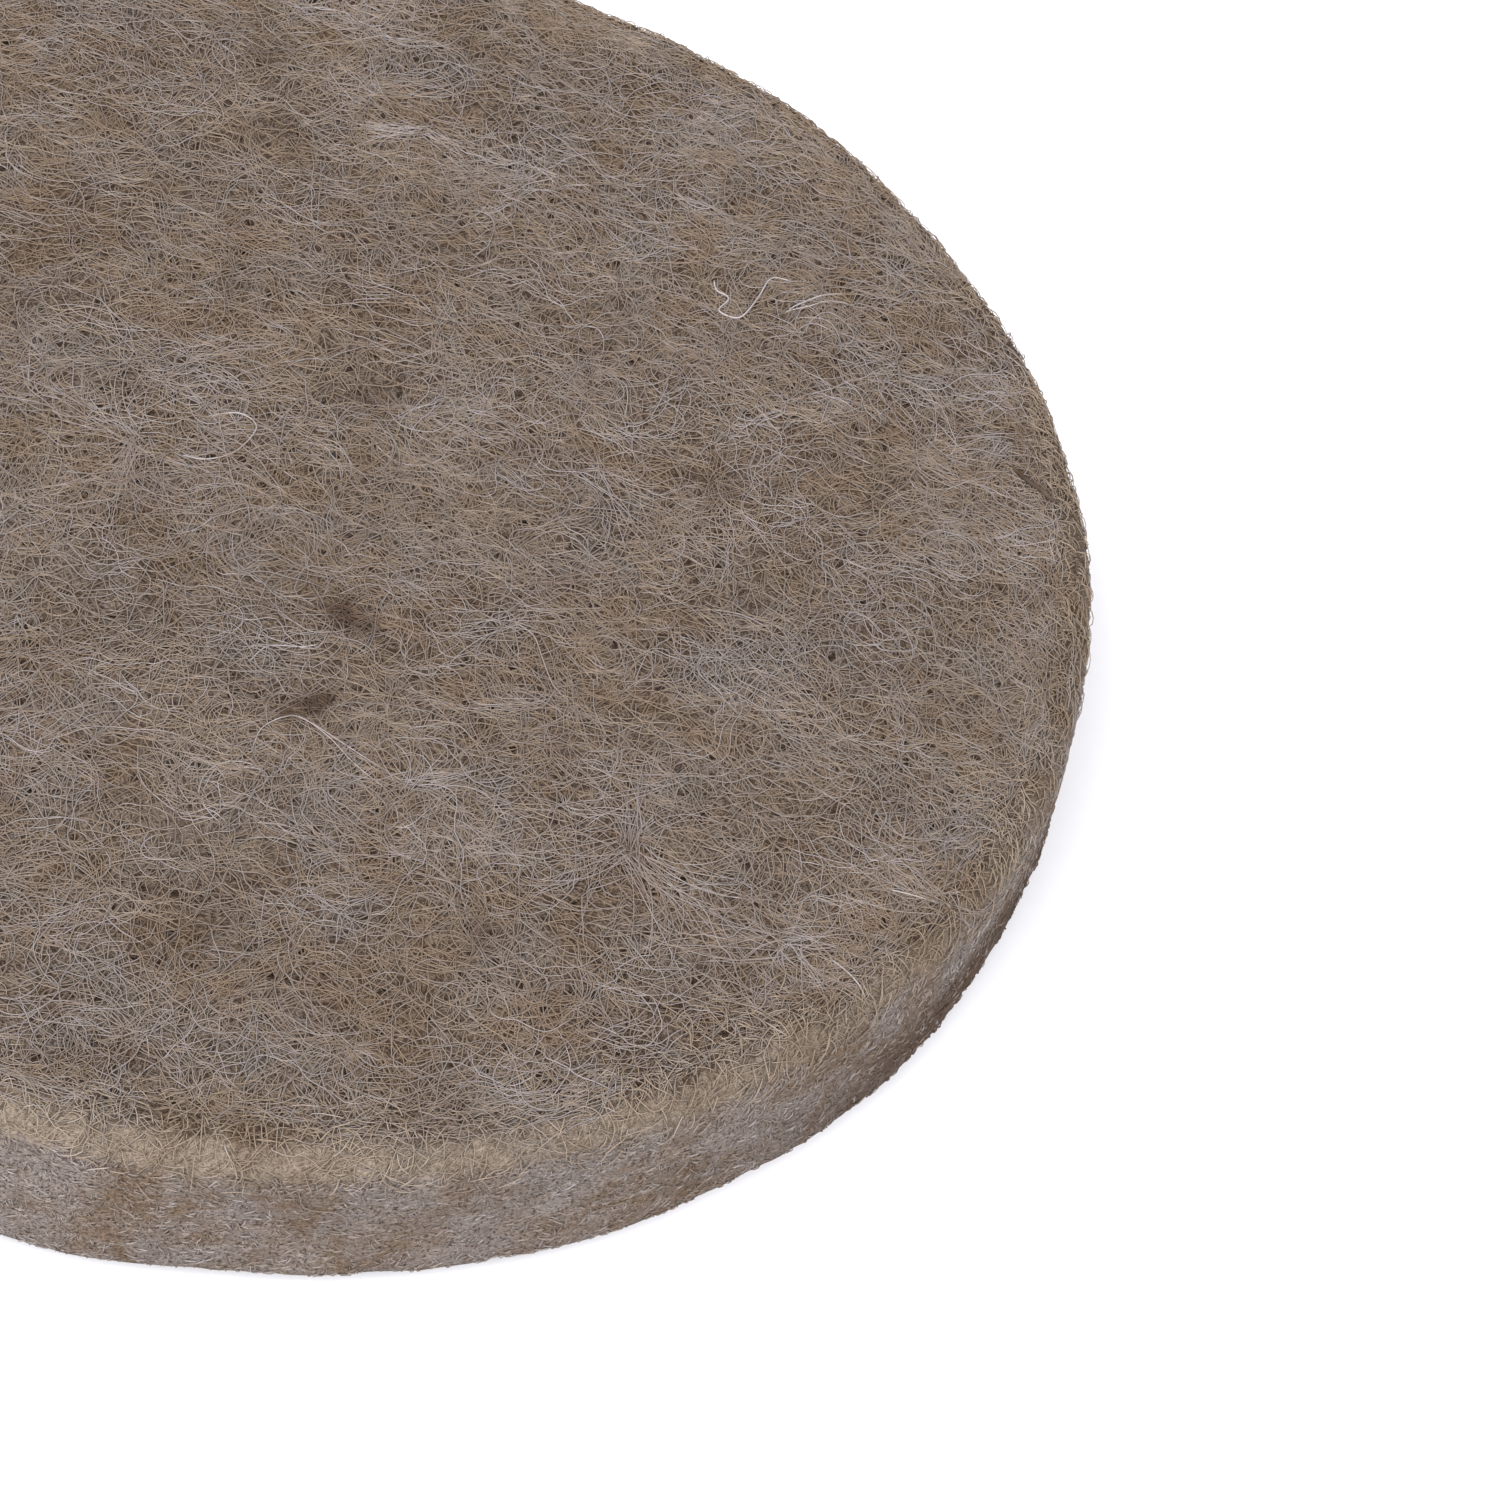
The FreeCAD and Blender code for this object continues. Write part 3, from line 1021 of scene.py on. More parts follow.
@dataclass(frozen=True)
class FibreSet:
    """A set of loose fibres of one blend, which lie in wisps over the felt's skin.

    curl and crimp are turns in radians for each metre, and lengths are in metres. A fibre's
    ends tuck into the felt, and a fibre of the face turns back before it leaves the face.
    """

    name: str
    lay: Lay
    finish: FibreFinish
    seed: int
    count: int
    points: int
    length: tuple[float, float]
    thickness: tuple[float, float]
    lift: tuple[float, float]
    wisp: int = 6
    wisp_width: float = 0.45 * MM
    curl: float = 1100.0
    crimp: float = 1900.0
    crimp_length: tuple[float, float] = (0.9 * MM, 2.6 * MM)
    aim_spread: float = 0.5
    own_aim: float = 0.3
    shade: tuple[float, float] = (0.5, 0.13)
    own_shade: float = 0.13
    weave: float = 0.024 * MM
    tuck_depth: float = 0.03 * MM
    turn_back: float = 2.4
    turn_back_from: float = 0.8 * MM
    edge_band: tuple[float, float] = (-0.8 * MM, 0.65 * MM)
    # How much darker the edge fibres are away from the lit side: painted shade.
    unlit_side_painted_shade: float = -0.36

    def start_places(self, skin: Skin, draw: np.random.Generator) -> tuple[Array, Array]:
        """Scatters the wisps, and their fibres' first points.

        Args:
            skin: the felt's surface.
            draw: the set's random numbers.

        Returns:
            The points, and the way each fibre sets off.
        """
        wisps = self.count // self.wisp
        turn = draw.uniform(0, 2 * math.pi, wisps)
        edge = skin.radius - skin.shoulder
        if self.lay is Lay.FACE:
            out = edge * np.sqrt(draw.uniform(0, 1, wisps))
            height = np.full(wisps, skin.top)
        elif self.lay is Lay.EDGE:
            out = edge + draw.uniform(*self.edge_band, wisps)
            height = np.full(wisps, skin.top)
        else:
            out = np.full(wisps, skin.radius)
            height = draw.uniform(skin.bottom, skin.top - 0.4 * skin.shoulder, wisps)
        place = np.stack([out * np.cos(turn), out * np.sin(turn), height], 1)
        if self.lay is Lay.FACE:
            heading = draw.uniform(0, 2 * math.pi, wisps)
            aim = np.stack([np.cos(heading), np.sin(heading), np.zeros(wisps)], 1)
        else:
            # Cut ends lie mostly along the rim.
            tilt = draw.normal(0, self.aim_spread, wisps) + math.pi * (draw.random(wisps) < 0.5)
            around = np.stack([-np.sin(turn), np.cos(turn), np.zeros(wisps)], 1)
            away = np.stack([np.cos(turn), np.sin(turn), np.zeros(wisps)], 1)
            across = np.array([0, 0, 1.0]) if self.lay is Lay.RIM else away
            aim = around * np.cos(tilt)[:, None] + across * np.sin(tilt)[:, None]
        place, aim = (np.repeat(rows, self.wisp, axis=0) for rows in (place, aim))
        place = place + draw.normal(0, self.wisp_width, place.shape)
        return place, unit(aim + draw.normal(0, self.own_aim, aim.shape))

    def drawn(self, draw: np.random.Generator, low: float, high: float, stray: float) -> Array:
        """Draws one value for each fibre, much the same within a wisp.

        Args:
            draw: the set's random numbers.
            low: the least value that a wisp has.
            high: the greatest value that a wisp has.
            stray: how far a fibre strays from its wisp, as a share of the range.

        Returns:
            The values.
        """
        common = np.repeat(draw.uniform(low, high, self.count // self.wisp), self.wisp)
        return common + draw.normal(0, stray * (high - low), len(common))

    def paths(self, skin: Skin, relief: Relief, pits: Pits) -> tuple[Array, Array, Array, Array]:
        """Walks each fibre over the skin.

        Args:
            skin: the felt's surface.
            relief: the felt's unevenness.
            pits: the hollows that the fibres pass around.

        Returns:
            Each fibre's points, the skin's normals at them, its thickness and its shade.
        """
        draw = np.random.default_rng(self.seed)
        place, aim = self.start_places(skin, draw)
        place, normal = skin.settle(place)
        step = self.drawn(draw, *self.length, stray=0.15)[:, None] / (self.points - 1)
        bend = self.drawn(draw, -self.curl, self.curl, stray=0.16)
        crimp = self.drawn(draw, 0.2 * self.crimp, self.crimp, stray=0.1)
        crimp_length = np.maximum(self.drawn(draw, *self.crimp_length, stray=0.04), MM)
        pitch = 2 * math.pi / crimp_length
        phase = self.drawn(draw, 0, 2 * math.pi, stray=0.08)
        bob = draw.uniform(0, 2 * math.pi, len(step))
        lift = draw.uniform(*self.lift, len(step))
        limit = skin.radius - skin.shoulder * draw.uniform(0.7, 1.6, len(step))
        track, normals = [], []
        for number in range(self.points):
            travelled = number * step[:, 0]
            tuck = math.sin(math.pi * number / (self.points - 1)) ** 0.5
            weave = self.weave * np.sin(pitch * travelled + bob)
            height = relief.at(place) + lift * tuck + weave - self.tuck_depth * (1 - tuck)
            open_place = pits.pass_around(place) if self.lay is Lay.FACE else place
            track.append(open_place + normal * height[:, None])
            normals.append(normal)
            turning = bend + crimp * np.sin(pitch * travelled + phase)
            aim = unit(aim - normal * (aim * normal).sum(1, keepdims=True))
            if self.lay is Lay.FACE:
                away = place * (1.0, 1.0, 0.0)
                out = np.linalg.norm(away, axis=1)
                leaving = np.maximum((aim * away).sum(1) / np.maximum(out, 1e-9), 0)
                stop = np.clip((out - limit) / self.turn_back_from + 1, 0, 1) * leaving
                outward = away / np.maximum(out, 1e-9)[:, None]
                aim = unit(aim - outward * stop[:, None] * self.turn_back)
            angle = (turning * step[:, 0])[:, None]
            aim = aim * np.cos(angle) + np.cross(normal, aim) * np.sin(angle)
            place, normal = skin.settle(place + aim * step)
        thickness = draw.uniform(*self.thickness, len(step))
        shades = np.repeat(draw.normal(*self.shade, self.count // self.wisp), self.wisp)
        shades = shades + draw.normal(0, self.own_shade, len(shades))
        return np.stack(track, 1), np.stack(normals, 1), thickness, shades

    def build(self, skin: Skin, relief: Relief, pits: Pits) -> bpy.types.Object:
        """Makes the set as one piece.

        Args:
            skin: the felt's surface.
            relief: the felt's unevenness.
            pits: the hollows that the fibres pass around.

        Returns:
            The new piece.
        """
        track, normals, thickness, shades = self.paths(skin, relief, pits)
        # Painted shade: the edge fibres darken away from the lit side.
        if self.lay is Lay.EDGE:
            shades = shades + self.unlit_side_painted_shade * (1 - relief.side(track[:, 0]))
        piece = strand_mesh(self.name, track, normals, thickness)
        give_shades(piece, shades)
        return piece


@dataclass(frozen=True)
class Stain:
    """A darker spot on the face, with its place and its radius in millimetres."""

    across: float
    along: float
    radius: float
    strength: float


STAINS = (
    Stain(1.6, -5.7, 0.4, 0.6),
    Stain(2.1, -6.0, 0.5, 0.8),
    Stain(2.9, -6.4, 0.45, 0.5),
    Stain(1.2, -5.2, 1.5, 0.4),
    # These three spots are painted shade: a dark gap in the face.
    Stain(1.6, -9.1, 0.3, 0.9),
    Stain(1.2, -9.4, 0.4, 1.3),
    Stain(0.6, -9.8, 0.35, 1.0),
    Stain(1.9, 2.7, 0.8, 0.5),
    Stain(6.7, -16.5, 0.5, 0.7),
    Stain(13.3, 1.4, 0.6, 0.5),
    Stain(22.7, 5.6, 0.5, 0.6),
    Stain(-1.0, -17.5, 1.6, 0.3),
    Stain(-14.0, 2.0, 0.9, 0.5),
    Stain(-3.0, 18.0, 0.8, 0.6),
)
# Painted shade: low on the rim, on one side, the felt is darkened as shade near the table would
# darken it.
HEEL_SHADE_HEADING = -30.0
HEEL_SHADE_SPREAD = 17.0
HEEL_SHADE_HEIGHT = 4.0 * MM
HEEL_SHADE_INNER_RADIUS = 24.0 * MM
HEEL_SHADE_STRENGTH = 1.4


def stains_and_heel_shade(points: Array) -> Array:
    """How dark the felt is at each point: its darker spots, and painted shade low on one side of
    its heel.

    Args:
        points: rows of x, y, z.

    Returns:
        The darkness, 0 for clean felt.
    """
    spots = np.zeros(len(points))
    for stain in STAINS:
        way = np.hypot(points[:, 0] - stain.across * MM, points[:, 1] - stain.along * MM)
        spots += stain.strength * np.exp(-((way / (stain.radius * MM)) ** 2))
    # The painted heel shade: one side of the rim, below a height, near the outside.
    turn = np.degrees(np.arctan2(points[:, 1], points[:, 0]))
    side = np.exp(-(((turn - HEEL_SHADE_HEADING) / HEEL_SHADE_SPREAD) ** 2))
    low = np.clip((HEEL_SHADE_HEIGHT - points[:, 2]) / (0.5 * HEEL_SHADE_HEIGHT), 0, 1)
    outer = np.hypot(points[:, 0], points[:, 1]) > HEEL_SHADE_INNER_RADIUS
    return spots + HEEL_SHADE_STRENGTH * side * low * outer


@dataclass(frozen=True)
class Stray:
    """One fibre that lies on top of the face, through these places in millimetres."""

    places: tuple[tuple[float, float], ...]
    thickness: float
    shade: float
    rise: float = 0.1 * MM

    def track(self, skin: Skin, relief: Relief, points: int) -> Array:
        """Draws a smooth path through the places.

        Args:
            skin: the felt's surface.
            relief: the felt's unevenness.
            points: how many points the path has.

        Returns:
            The path's points.
        """
        ends = [self.places[0], *self.places, self.places[-1]]
        knots = np.array(ends) * MM
        along = np.linspace(0, len(self.places) - 1 - 1e-6, points)
        number = along.astype(int)
        t = (along - number)[:, None]
        before, start, end, after = (knots[number + shift] for shift in range(4))
        path = 0.5 * (
            2 * start
            + (end - before) * t
            + (2 * before - 5 * start + 4 * end - after) * t**2
            + (3 * start - before - 3 * end + after) * t**3
        )
        flat = np.column_stack([path, np.full(points, skin.top)])
        place, normal = skin.settle(flat)
        share = np.linspace(0, 1, points)
        lift = self.rise * np.sin(math.pi * share) ** 0.35 - 0.02 * MM
        return place + normal * (relief.at(place) + lift)[:, None]


STRAYS = (
    Stray(
        ((12.5, 10.6), (12.6, 10.1), (13.0, 9.8), (12.7, 9.2), (13.4, 9.0), (14.0, 10.1),
         (14.4, 11.0), (15.2, 11.0)),
        0.075 * MM,
        0.95,
    ),
    Stray(
        ((-0.3, -11.4), (-0.1, -10.5), (0.5, -10.0), (1.1, -10.0), (2.6, -10.9), (4.3, -11.9)),
        0.042 * MM,
        0.75,
    ),
    Stray(((0.2, -10.1), (0.9, -9.9), (1.8, -10.5), (2.7, -11.4), (3.9, -12.3)), 0.04 * MM, 0.7),
    Stray(((6.9, -5.2), (7.5, -5.7), (7.8, -6.5), (8.2, -7.5), (8.7, -8.0)), 0.055 * MM, 0.4),
    Stray(((-0.7, -8.0), (-0.2, -7.4), (0.7, -7.3), (1.2, -7.1)), 0.05 * MM, 0.85),
    Stray(((15.0, 9.7), (15.5, 10.1), (16.1, 10.5), (16.8, 10.8)), 0.07 * MM, 0.8),
    Stray(((14.9, 9.6), (15.6, 9.9), (16.3, 10.3), (17.0, 10.4)), 0.06 * MM, 0.8),
    Stray(
        ((-3.6, -0.5), (-2.9, -0.6), (-2.0, -0.1), (-1.5, 1.0), (-2.1, 1.5), (-3.1, 1.2)),
        0.06 * MM,
        0.8,
    ),
    Stray(((16.7, -16.0), (17.2, -16.5), (17.7, -17.1)), 0.06 * MM, 0.85),
    Stray(((18.4, -13.3), (19.0, -13.4), (19.8, -13.6)), 0.07 * MM, 0.85),
)
STRAW = Stray(((22.4, 4.2), (22.8, 3.7), (23.3, 3.3), (23.8, 2.8)), 0.2 * MM, 0.4, 0.13 * MM)


@dataclass(frozen=True)
class Knot:
    """A place on the face, in millimetres, where fibres are drawn together like a star."""

    across: float
    along: float
    fibres: int = 60
    reach: float = 3.4 * MM
    wisps: int = 4
    spread: float = 0.24
    bend: float = 330.0
    scatter: float = 0.28 * MM
    rise: float = 0.075 * MM
    fall: float = 0.07 * MM

    def paths(
        self, skin: Skin, relief: Relief, draw: np.random.Generator, points: int
    ) -> tuple[Array, Array]:
        """Walks each fibre away from the knot.

        Args:
            skin: the felt's surface.
            relief: the felt's unevenness.
            draw: the knots' random numbers.
            points: how many points a fibre has.

        Returns:
            Each fibre's points, and the skin's normals at them.
        """
        wisps = draw.uniform(0, 2 * math.pi, self.wisps)
        heading = draw.choice(wisps, self.fibres) + draw.normal(0, self.spread, self.fibres)
        bend = draw.normal(0, self.bend, self.fibres)
        step = self.reach * draw.uniform(0.35, 1.0, self.fibres) / (points - 1)
        middle = np.array([self.across * MM, self.along * MM, skin.top])
        place, normal = skin.settle(middle + draw.normal(0, self.scatter, (self.fibres, 3)))
        track, normals = [], []
        for number in range(points):
            lift = self.rise - self.fall * (number / (points - 1)) ** 2
            height = relief.at(place) + lift * draw.uniform(0.9, 1.1, self.fibres)
            track.append(place + normal * height[:, None])
            normals.append(normal)
            heading = heading + bend * step
            aim = np.stack([np.cos(heading), np.sin(heading), 0 * heading], 1)
            place, normal = skin.settle(place + aim * step[:, None])
        return np.stack(track, 1), np.stack(normals, 1)


KNOTS = (
    Knot(-4.9, -0.2, 60, 4.6 * MM),
    Knot(10.7, -13.0, 64, 5.0 * MM),
    Knot(6.8, -5.1, 24),
    Knot(4.3, -12.0, 24),
    Knot(15.5, -15.6, 44, 4.4 * MM),
    Knot(20.1, -13.5, 28),
    Knot(22.4, 5.3, 20, 2.6 * MM),
    Knot(-12.0, 8.5, 36),
    Knot(-15.5, -9.0, 44, 4.4 * MM),
    Knot(2.5, 15.5, 36, 4.4 * MM),
)


# The deeper layers' wool is darker: partly the blend's own brown, partly painted shade for lying
# under the upper fibres.
DEEP_WOOL = FibreFinish("deep_wool", (94, 82, 70), (110, 97, 84), (125, 112, 99))
BROWN_WOOL = FibreFinish("brown_wool", (102, 88, 75), (120, 105, 91), (136, 122, 108))
TAN_WOOL = FibreFinish("tan_wool", (112, 98, 85), (130, 116, 102), (146, 133, 119))
GREY_WOOL = FibreFinish("grey_wool", (118, 109, 102), (137, 128, 123), (157, 150, 149))
# Paler wool: partly the edge fuzz's own colour, partly a painted highlight on the shoulder.
PALE_WOOL = FibreFinish("pale_wool", (134, 119, 103), (152, 138, 123), (170, 163, 158))
RIM_TAN = FibreFinish(
    "rim_tan_wool", (106, 94, 85), (127, 116, 107), (145, 135, 127), streaky=True
)
RIM_GREY = FibreFinish(
    "rim_grey_wool", (108, 99, 93), (131, 123, 118), (150, 144, 141), streaky=True
)
STRAY_WOOL = FibreFinish("stray_wool", (136, 125, 116), (151, 143, 138), (166, 160, 160))
STRAW_STEM = FibreFinish("straw_stem", (22, 12, 6), (46, 27, 15), (78, 50, 30))


# From the deepest layer up; the lower layers' darker wool is partly painted shade.
FACE_BLENDS = (
    (DEEP_WOOL, 1704, 12, (3.0 * MM, 6.0 * MM), (0.055 * MM, 0.075 * MM)),
    (BROWN_WOOL, 2100, 12, (3.0 * MM, 5.5 * MM), (0.045 * MM, 0.06 * MM)),
    (TAN_WOOL, 2298, 16, (2.5 * MM, 5.5 * MM), (0.032 * MM, 0.048 * MM)),
    (GREY_WOOL, 2298, 16, (2.5 * MM, 5.5 * MM), (0.03 * MM, 0.045 * MM)),
    (TAN_WOOL, 2298, 16, (2.5 * MM, 5.5 * MM), (0.03 * MM, 0.042 * MM)),
    (GREY_WOOL, 2298, 16, (2.5 * MM, 5.0 * MM), (0.028 * MM, 0.038 * MM)),
)
FACE_FUZZ = FibreSet(
    "face_fuzz",
    Lay.FACE,
    TAN_WOOL,
    seed=21,
    count=5400,
    points=8,
    length=(0.9 * MM, 2.2 * MM),
    thickness=(0.026 * MM, 0.038 * MM),
    lift=(0.02 * MM, 0.085 * MM),
    wisp=3,
    curl=1600.0,
    crimp=2400.0,
    crimp_length=(0.7 * MM, 1.6 * MM),
    shade=(0.58, 0.2),
)
# The edge fibres are paler: partly their own colour, partly a painted highlight on the shoulder.
EDGE_FIBRES = FibreSet(
    "edge_fibres",
    Lay.EDGE,
    PALE_WOOL,
    seed=41,
    count=8100,
    points=6,
    length=(0.4 * MM, 1.3 * MM),
    thickness=(0.026 * MM, 0.042 * MM),
    lift=(0.01 * MM, 0.13 * MM),
    wisp=3,
    curl=1400.0,
    crimp_length=(0.8 * MM, 1.6 * MM),
    aim_spread=0.8,
    shade=(0.4, 0.1),
)


def face_layer(layer: int) -> FibreSet:
    """One layer of the matted face.

    Args:
        layer: its number from the felt's body outwards, 0 for the deepest.

    Returns:
        The set.
    """
    finish, count, points, length, thickness = FACE_BLENDS[layer]
    lift = (0.012 * layer * MM, (0.02 + 0.016 * layer) * MM)
    name = f"face_fibres_{layer + 1}"
    return FibreSet(name, Lay.FACE, finish, 11 + layer, count, points, length, thickness, lift)


def rim_layer(layer: int) -> FibreSet:
    """One blend of the cut ends around the rim.

    Args:
        layer: its number, 0 for the tan ends and 1 for the grey ones.

    Returns:
        The set.
    """
    return FibreSet(
        f"rim_fibres_{layer + 1}",
        Lay.RIM,
        (RIM_TAN, RIM_GREY)[layer],
        seed=31 + layer,
        count=10002,
        points=4,
        length=(0.15 * MM, 0.6 * MM),
        thickness=(0.035 * MM, 0.06 * MM),
        lift=(0.0, 0.02 * MM),
        wisp=3,
        wisp_width=0.14 * MM,
        curl=1200.0,
        aim_spread=1.1,
        shade=(0.53, 0.22),
    )


@dataclass
class FeltDisc:
    """The pressed wool disc and its loose fibres."""

    shared: Shared
    insert_recess_radius: float = 4.75 * MM
    voxel: float = 0.235 * MM

    def __post_init__(self) -> None:
        """Reads the felt's and the hub's places from the frame."""
        low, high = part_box("felt_disc")
        self.skin = Skin(high[0], low[2], high[2])
        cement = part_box("hub_cement")[1]
        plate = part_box("hub_plate")[1]
        film = cement[2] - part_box("threaded_insert")[1][2]
        self.recess = (cement[0], plate[2] + film, cement[2])
        layers = ((9 * MM, 0.04 * MM), (2.2 * MM, 0.014 * MM), (0.9 * MM, 0.008 * MM))
        self.relief = Relief(Waves(7, layers), self.skin.radius - self.skin.shoulder)
        self.pits = Pits(seed=5, cell=0.74 * MM, share=0.66, size=(0.07 * MM, 0.14 * MM))
        self.finishes: dict[str, bpy.types.Material] = {}

    def build_body(self) -> bpy.types.Object:
        """Makes the solid felt: its section is spun, remeshed evenly and made uneven.

        Returns:
            The new piece.
        """
        recess_radius, recess_roof, insert_roof = self.recess
        section = [
            (0.0, insert_roof),
            (self.insert_recess_radius, insert_roof),
            (self.insert_recess_radius, recess_roof),
            (recess_radius, recess_roof),
            (recess_radius, self.skin.bottom),
            *self.skin.outline(),
            (0.0, self.skin.top),
        ]
        mesh = bpy.data.meshes.new("felt_body")
        edges = [(first, first + 1) for first in range(len(section) - 1)]
        mesh.from_pydata([(out, 0.0, height) for out, height in section], edges, [])
        body = bpy.data.objects.new("felt_body", mesh)
        bpy.context.scene.collection.objects.link(body)
        select_only(body)
        bpy.ops.object.mode_set(mode="EDIT")
        bpy.ops.mesh.select_all(action="SELECT")
        bpy.ops.mesh.spin(steps=180, angle=2 * math.pi, center=(0, 0, 0), axis=(0, 0, 1))
        bpy.ops.mesh.select_all(action="SELECT")
        bpy.ops.mesh.remove_doubles(threshold=1e-7)
        bpy.ops.mesh.normals_make_consistent(inside=False)
        bpy.ops.object.mode_set(mode="OBJECT")
        apply_modifier(body, "REMESH", mode="VOXEL", voxel_size=self.voxel)
        self.roughen(body)
        body.data.polygons.foreach_set("use_smooth", np.ones(len(body.data.polygons), bool))
        return body

    def roughen(self, body: bpy.types.Object) -> None:
        """Makes the outer skin uneven and pitted, and leaves the recess alone.

        Args:
            body: the solid felt.
        """
        places = vertex_places(body)
        settled, normals = self.skin.settle(places)
        outer = np.linalg.norm(places - settled, axis=1) < 0.75 * self.voxel
        recess = np.hypot(places[:, 0], places[:, 1]) < self.recess[0] + 2 * self.voxel
        outer &= ~(recess & (places[:, 2] < self.recess[2] + self.voxel))
        face = np.clip(normals[:, 2], 0, 1) * outer
        hollow = self.pits.hollow(places) * face
        rise = self.relief.at(settled) - self.pits.depth * hollow
        places[outer] = (settled + normals * rise[:, None])[outer]
        body.data.vertices.foreach_set("co", places.ravel())
        # The pits' depth, which also paints shade into them.
        store(body, "hollow", hollow)
        store(body, "face", face)
        # Where the shoulder's painted highlight shows.
        store(body, "lit_side_highlight", self.relief.side(places))
        # Stains, and painted shade low on one side of the heel.
        store(body, "stain_and_shade", stains_and_heel_shade(places))
        body.data.update()

    def place_wool(self, piece: bpy.types.Object, finish: FibreFinish) -> None:
        """Puts a set of fibres on the felt, and builds its finish the first time.

        Args:
            piece: the fibres.
            finish: their blend.
        """
        if finish.name not in self.finishes:
            self.finishes[finish.name] = finish.build(self.shared)
        put_on_wheel(piece, self.finishes[finish.name])

    def build_knots(self) -> bpy.types.Object:
        """Makes the fibres that the knots draw together.

        Returns:
            The new piece.
        """
        draw = np.random.default_rng(61)
        paths = [knot.paths(self.skin, self.relief, draw, points=12) for knot in KNOTS]
        track, normals = (np.concatenate(rows) for rows in zip(*paths))
        thickness = draw.uniform(0.028 * MM, 0.042 * MM, len(track))
        piece = strand_mesh("knot_fibres", track, normals, thickness)
        give_shades(piece, draw.normal(0.55, 0.15, len(track)))
        return piece

    def build_strays(self) -> None:
        """Makes the coarse pale fibres on top of the face, and a bit of straw caught in it."""
        points = 40
        for name, strays, finish in (
            ("stray_fibres", STRAYS, STRAY_WOOL),
            ("straw_bit", (STRAW,), STRAW_STEM),
        ):
            track = np.stack([stray.track(self.skin, self.relief, points) for stray in strays])
            normals = np.broadcast_to(np.array([0, 0, 1.0]), track.shape)
            thickness = np.array([stray.thickness for stray in strays])
            piece = strand_mesh(name, track, normals, thickness)
            give_shades(piece, np.array([stray.shade for stray in strays]))
            self.place_wool(piece, finish)

    def build(self) -> None:
        """Builds and dresses the felt."""
        body = self.build_body()
        put_on_wheel(body, WoolFinish("matted_wool").build(self.shared))
        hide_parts("felt_disc")
        face = [face_layer(layer) for layer in range(len(FACE_BLENDS))]
        for fibres in (*face, FACE_FUZZ, EDGE_FIBRES, rim_layer(0), rim_layer(1)):
            self.place_wool(fibres.build(self.skin, self.relief, self.pits), fibres.finish)
        self.place_wool(self.build_knots(), GREY_WOOL)
        self.build_strays()


# ---------------------------------------------------------------- the hub and the backing


@dataclass
class Hub:
    """The steel plate, the threaded insert and the cement, which keep their own meshes."""

    shared: Shared

    def build(self) -> None:
        """Dresses the hub's pieces."""
        plated = SteelFinish(
            "zinc_plate", (186, 188, 190), (150, 146, 132), pitch=0.45 * MM, rough=0.34
        )
        turned = SteelFinish(
            "turned_steel", (172, 172, 174), (132, 130, 126), pitch=0.1 * MM, rough=0.26
        )
        cement = CementFinish("dried_cement").build()
        finishes = {
            "hub_plate": plated.build(self.shared),
            "threaded_insert": turned.build(self.shared),
            "hub_cement": cement,
            "cloth_cement": cement,
        }
        for node, finish in finishes.items():
            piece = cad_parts[node]
            piece.data.materials.clear()
            piece.data.materials.append(finish)
            LOG.info("%s dressed", node)


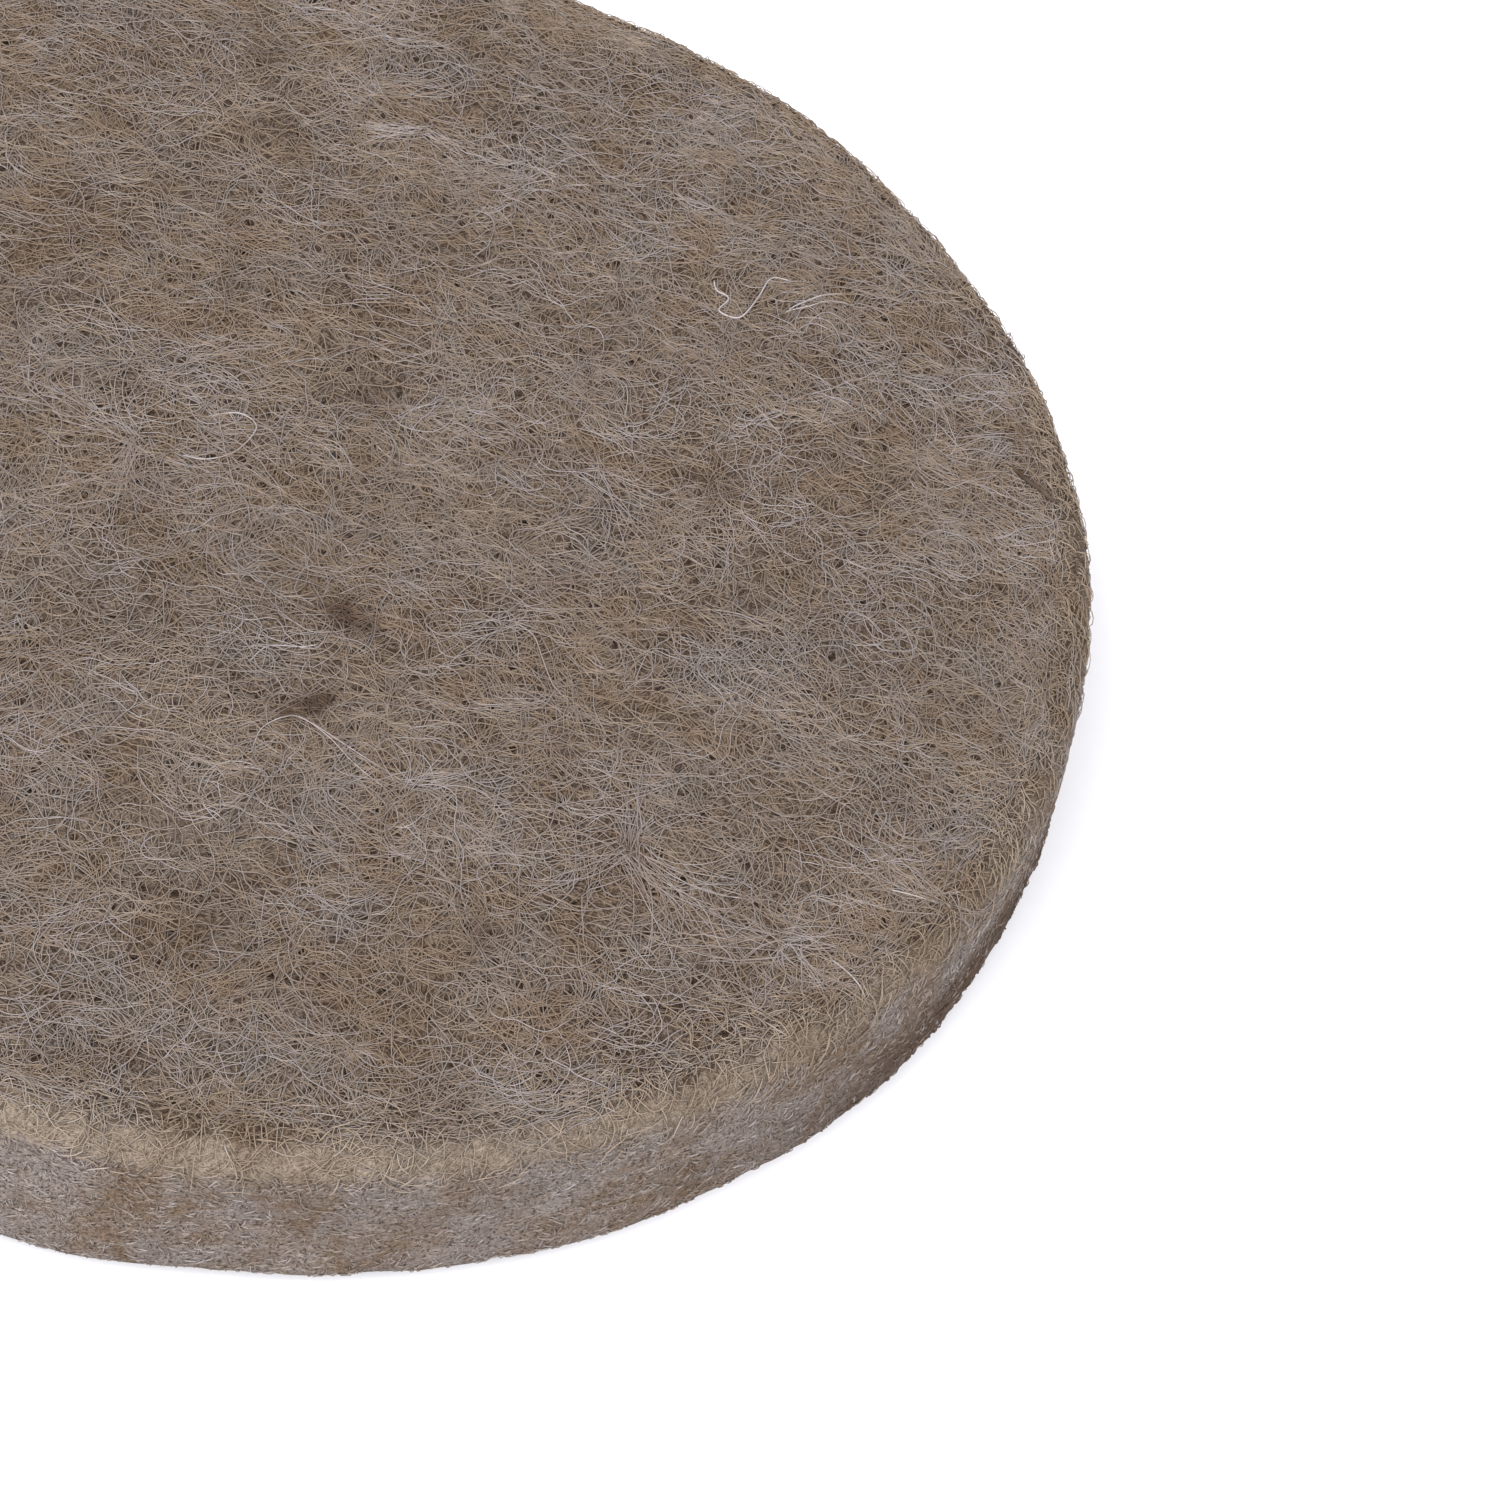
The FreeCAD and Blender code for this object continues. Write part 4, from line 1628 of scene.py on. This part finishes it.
@dataclass
class BackingCloth:
    """The canvas ring that is bonded to the felt's back, with its yarns in the mesh."""

    yarn_pitch: float = 0.9 * MM
    cell: float = 0.17 * MM
    yarn_rise: float = 0.09 * MM

    def build(self) -> None:
        """Builds and dresses the cloth."""
        low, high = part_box("backing_cloth")
        outer = high[0]
        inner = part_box("hub_plate")[1][0] + 0.5 * MM
        cells = int(2 * outer / self.cell) + 4
        bpy.ops.object.select_all(action="DESELECT")
        bpy.ops.mesh.primitive_grid_add(
            x_subdivisions=cells, y_subdivisions=cells, size=cells * self.cell, location=(0, 0, 0)
        )
        cloth = bpy.context.object
        cloth.name = cloth.data.name = "canvas_backing"
        places = vertex_places(cloth)
        out = np.hypot(places[:, 0], places[:, 1])
        spare = (out > outer + self.cell) | (out < inner - self.cell)
        held = np.clip(out, inner, outer) / np.maximum(out, 1e-9)
        places[:, :2] *= held[:, None]
        depth = self.yarn_depth(places)
        places[:, 2] = low[2] + depth
        cloth.data.vertices.foreach_set("co", places.ravel())
        # The weave's depth, which paints shade between the yarns.
        store(cloth, "hollow", depth / self.yarn_rise)
        select_only(cloth)
        bpy.ops.object.mode_set(mode="EDIT")
        bpy.ops.mesh.select_all(action="DESELECT")
        bpy.ops.object.mode_set(mode="OBJECT")
        cloth.data.vertices.foreach_set("select", spare)
        bpy.ops.object.mode_set(mode="EDIT")
        bpy.ops.mesh.select_mode(type="VERT")
        bpy.ops.mesh.delete(type="VERT")
        bpy.ops.mesh.select_all(action="SELECT")
        bpy.ops.mesh.flip_normals()
        bpy.ops.object.mode_set(mode="OBJECT")
        thickness = high[2] - low[2] - 2 * self.yarn_rise
        apply_modifier(cloth, "SOLIDIFY", thickness=thickness, offset=-1.0)
        cloth.data.polygons.foreach_set("use_smooth", np.ones(len(cloth.data.polygons), bool))
        put_on_wheel(cloth, CanvasFinish("cotton_canvas").build())
        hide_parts("backing_cloth")

    def yarn_depth(self, places: Array) -> Array:
        """How far each point of a plain weave lies in from the yarns' crowns.

        Args:
            places: rows of x, y, z.

        Returns:
            The depth at each point, in metres.
        """
        across = places[:, :2] / self.yarn_pitch
        number = np.floor(across)
        off_centre = 2 * (across - number) - 1
        crown = np.sqrt(np.clip(1 - 0.9 * off_centre**2, 0, 1))
        warp = crown[:, 0] + 0.9 * np.cos(math.pi * (across[:, 1] + number[:, 0]) - math.pi / 2)
        weft = crown[:, 1] - 0.9 * np.cos(math.pi * (across[:, 0] + number[:, 1]) - math.pi / 2)
        height = np.clip(np.maximum(warp, weft), 0, 1.9) / 1.9
        return self.yarn_rise * (1 - height)


# ---------------------------------------------------------------- the studio


@dataclass(frozen=True)
class Lamp:
    """A soft square light that faces the wheel."""

    name: str
    azimuth: float
    elevation: float
    distance: float
    watts: float
    size: float = 0.7
    colour: Colour = (1.0, 0.99, 1.02)

    def build(self) -> None:
        """Makes the light."""
        data = bpy.data.lights.new(self.name, "AREA")
        data.size = self.size
        data.energy = self.watts
        data.color = self.colour
        lamp = bpy.data.objects.new(self.name, data)
        back = toward(self.azimuth, self.elevation)
        lamp.location = back * self.distance
        lamp.rotation_mode = "QUATERNION"
        lamp.rotation_quaternion = (-back).to_track_quat("-Z", "Y")
        bpy.context.scene.collection.objects.link(lamp)


@dataclass
class Studio:
    """The table, the lights and the camera."""

    azimuth: float = -12.124
    elevation: float = 50.681
    roll: float = 17.231
    distance: float = 113.514 * MM
    aim: tuple[float, float, float] = (15.107 * MM, -4.416 * MM, 0.6 * MM)
    lens: float = 86.4
    sensor: float = 36.0
    table_gap: float = 0.03 * MM
    room_colour: tuple[float, float, float, float] = (1.0, 0.985, 1.0, 1.0)
    room_light: float = 0.43

    def build(self) -> None:
        """Sets up the table, the lights and the camera."""
        self.build_table()
        self.build_camera()
        Lamp("key", azimuth=-58, elevation=42, distance=0.6, watts=7.5).build()
        Lamp("fill", azimuth=55, elevation=40, distance=0.7, watts=6.2).build()
        world = bpy.data.worlds.new("studio")
        world.use_nodes = True
        background = world.node_tree.nodes["Background"]
        background.inputs["Color"].default_value = self.room_colour
        background.inputs["Strength"].default_value = self.room_light
        bpy.context.scene.world = world
        bpy.context.scene.view_settings.view_transform = "Standard"
        LOG.info("studio set")

    def build_table(self) -> None:
        """Makes the table top, a hair's breadth below the seating plane."""
        bpy.ops.object.select_all(action="DESELECT")
        bpy.ops.mesh.primitive_plane_add(size=2.0, location=(0, 0, 0))
        table = bpy.context.object
        table.name = "table_top"
        for corner in table.data.vertices:
            corner.co.z = -self.table_gap
        table.data.materials.append(FloorFinish().build())

    def build_camera(self) -> None:
        """Makes the camera, turned about its own axis as well as aimed."""
        data = bpy.data.cameras.new("camera")
        data.lens = self.lens
        data.sensor_width = self.sensor
        data.clip_start = 0.01
        data.clip_end = 10.0
        camera = bpy.data.objects.new("camera", data)
        back = toward(self.azimuth, self.elevation)
        camera.location = Vector(self.aim) + back * self.distance
        camera.rotation_mode = "QUATERNION"
        level = (-back).to_track_quat("-Z", "Y")
        camera.rotation_quaternion = level @ Quaternion((0, 0, 1), math.radians(self.roll))
        bpy.context.scene.collection.objects.link(camera)
        bpy.context.scene.camera = camera


def main() -> None:
    """Builds the wheel's looks and the studio."""
    logging.basicConfig(level=logging.INFO, format="%(message)s")
    shared = Shared()
    Studio().build()
    FeltDisc(shared).build()
    Hub(shared).build()
    BackingCloth().build()


if __name__ == "__main__":
    main()
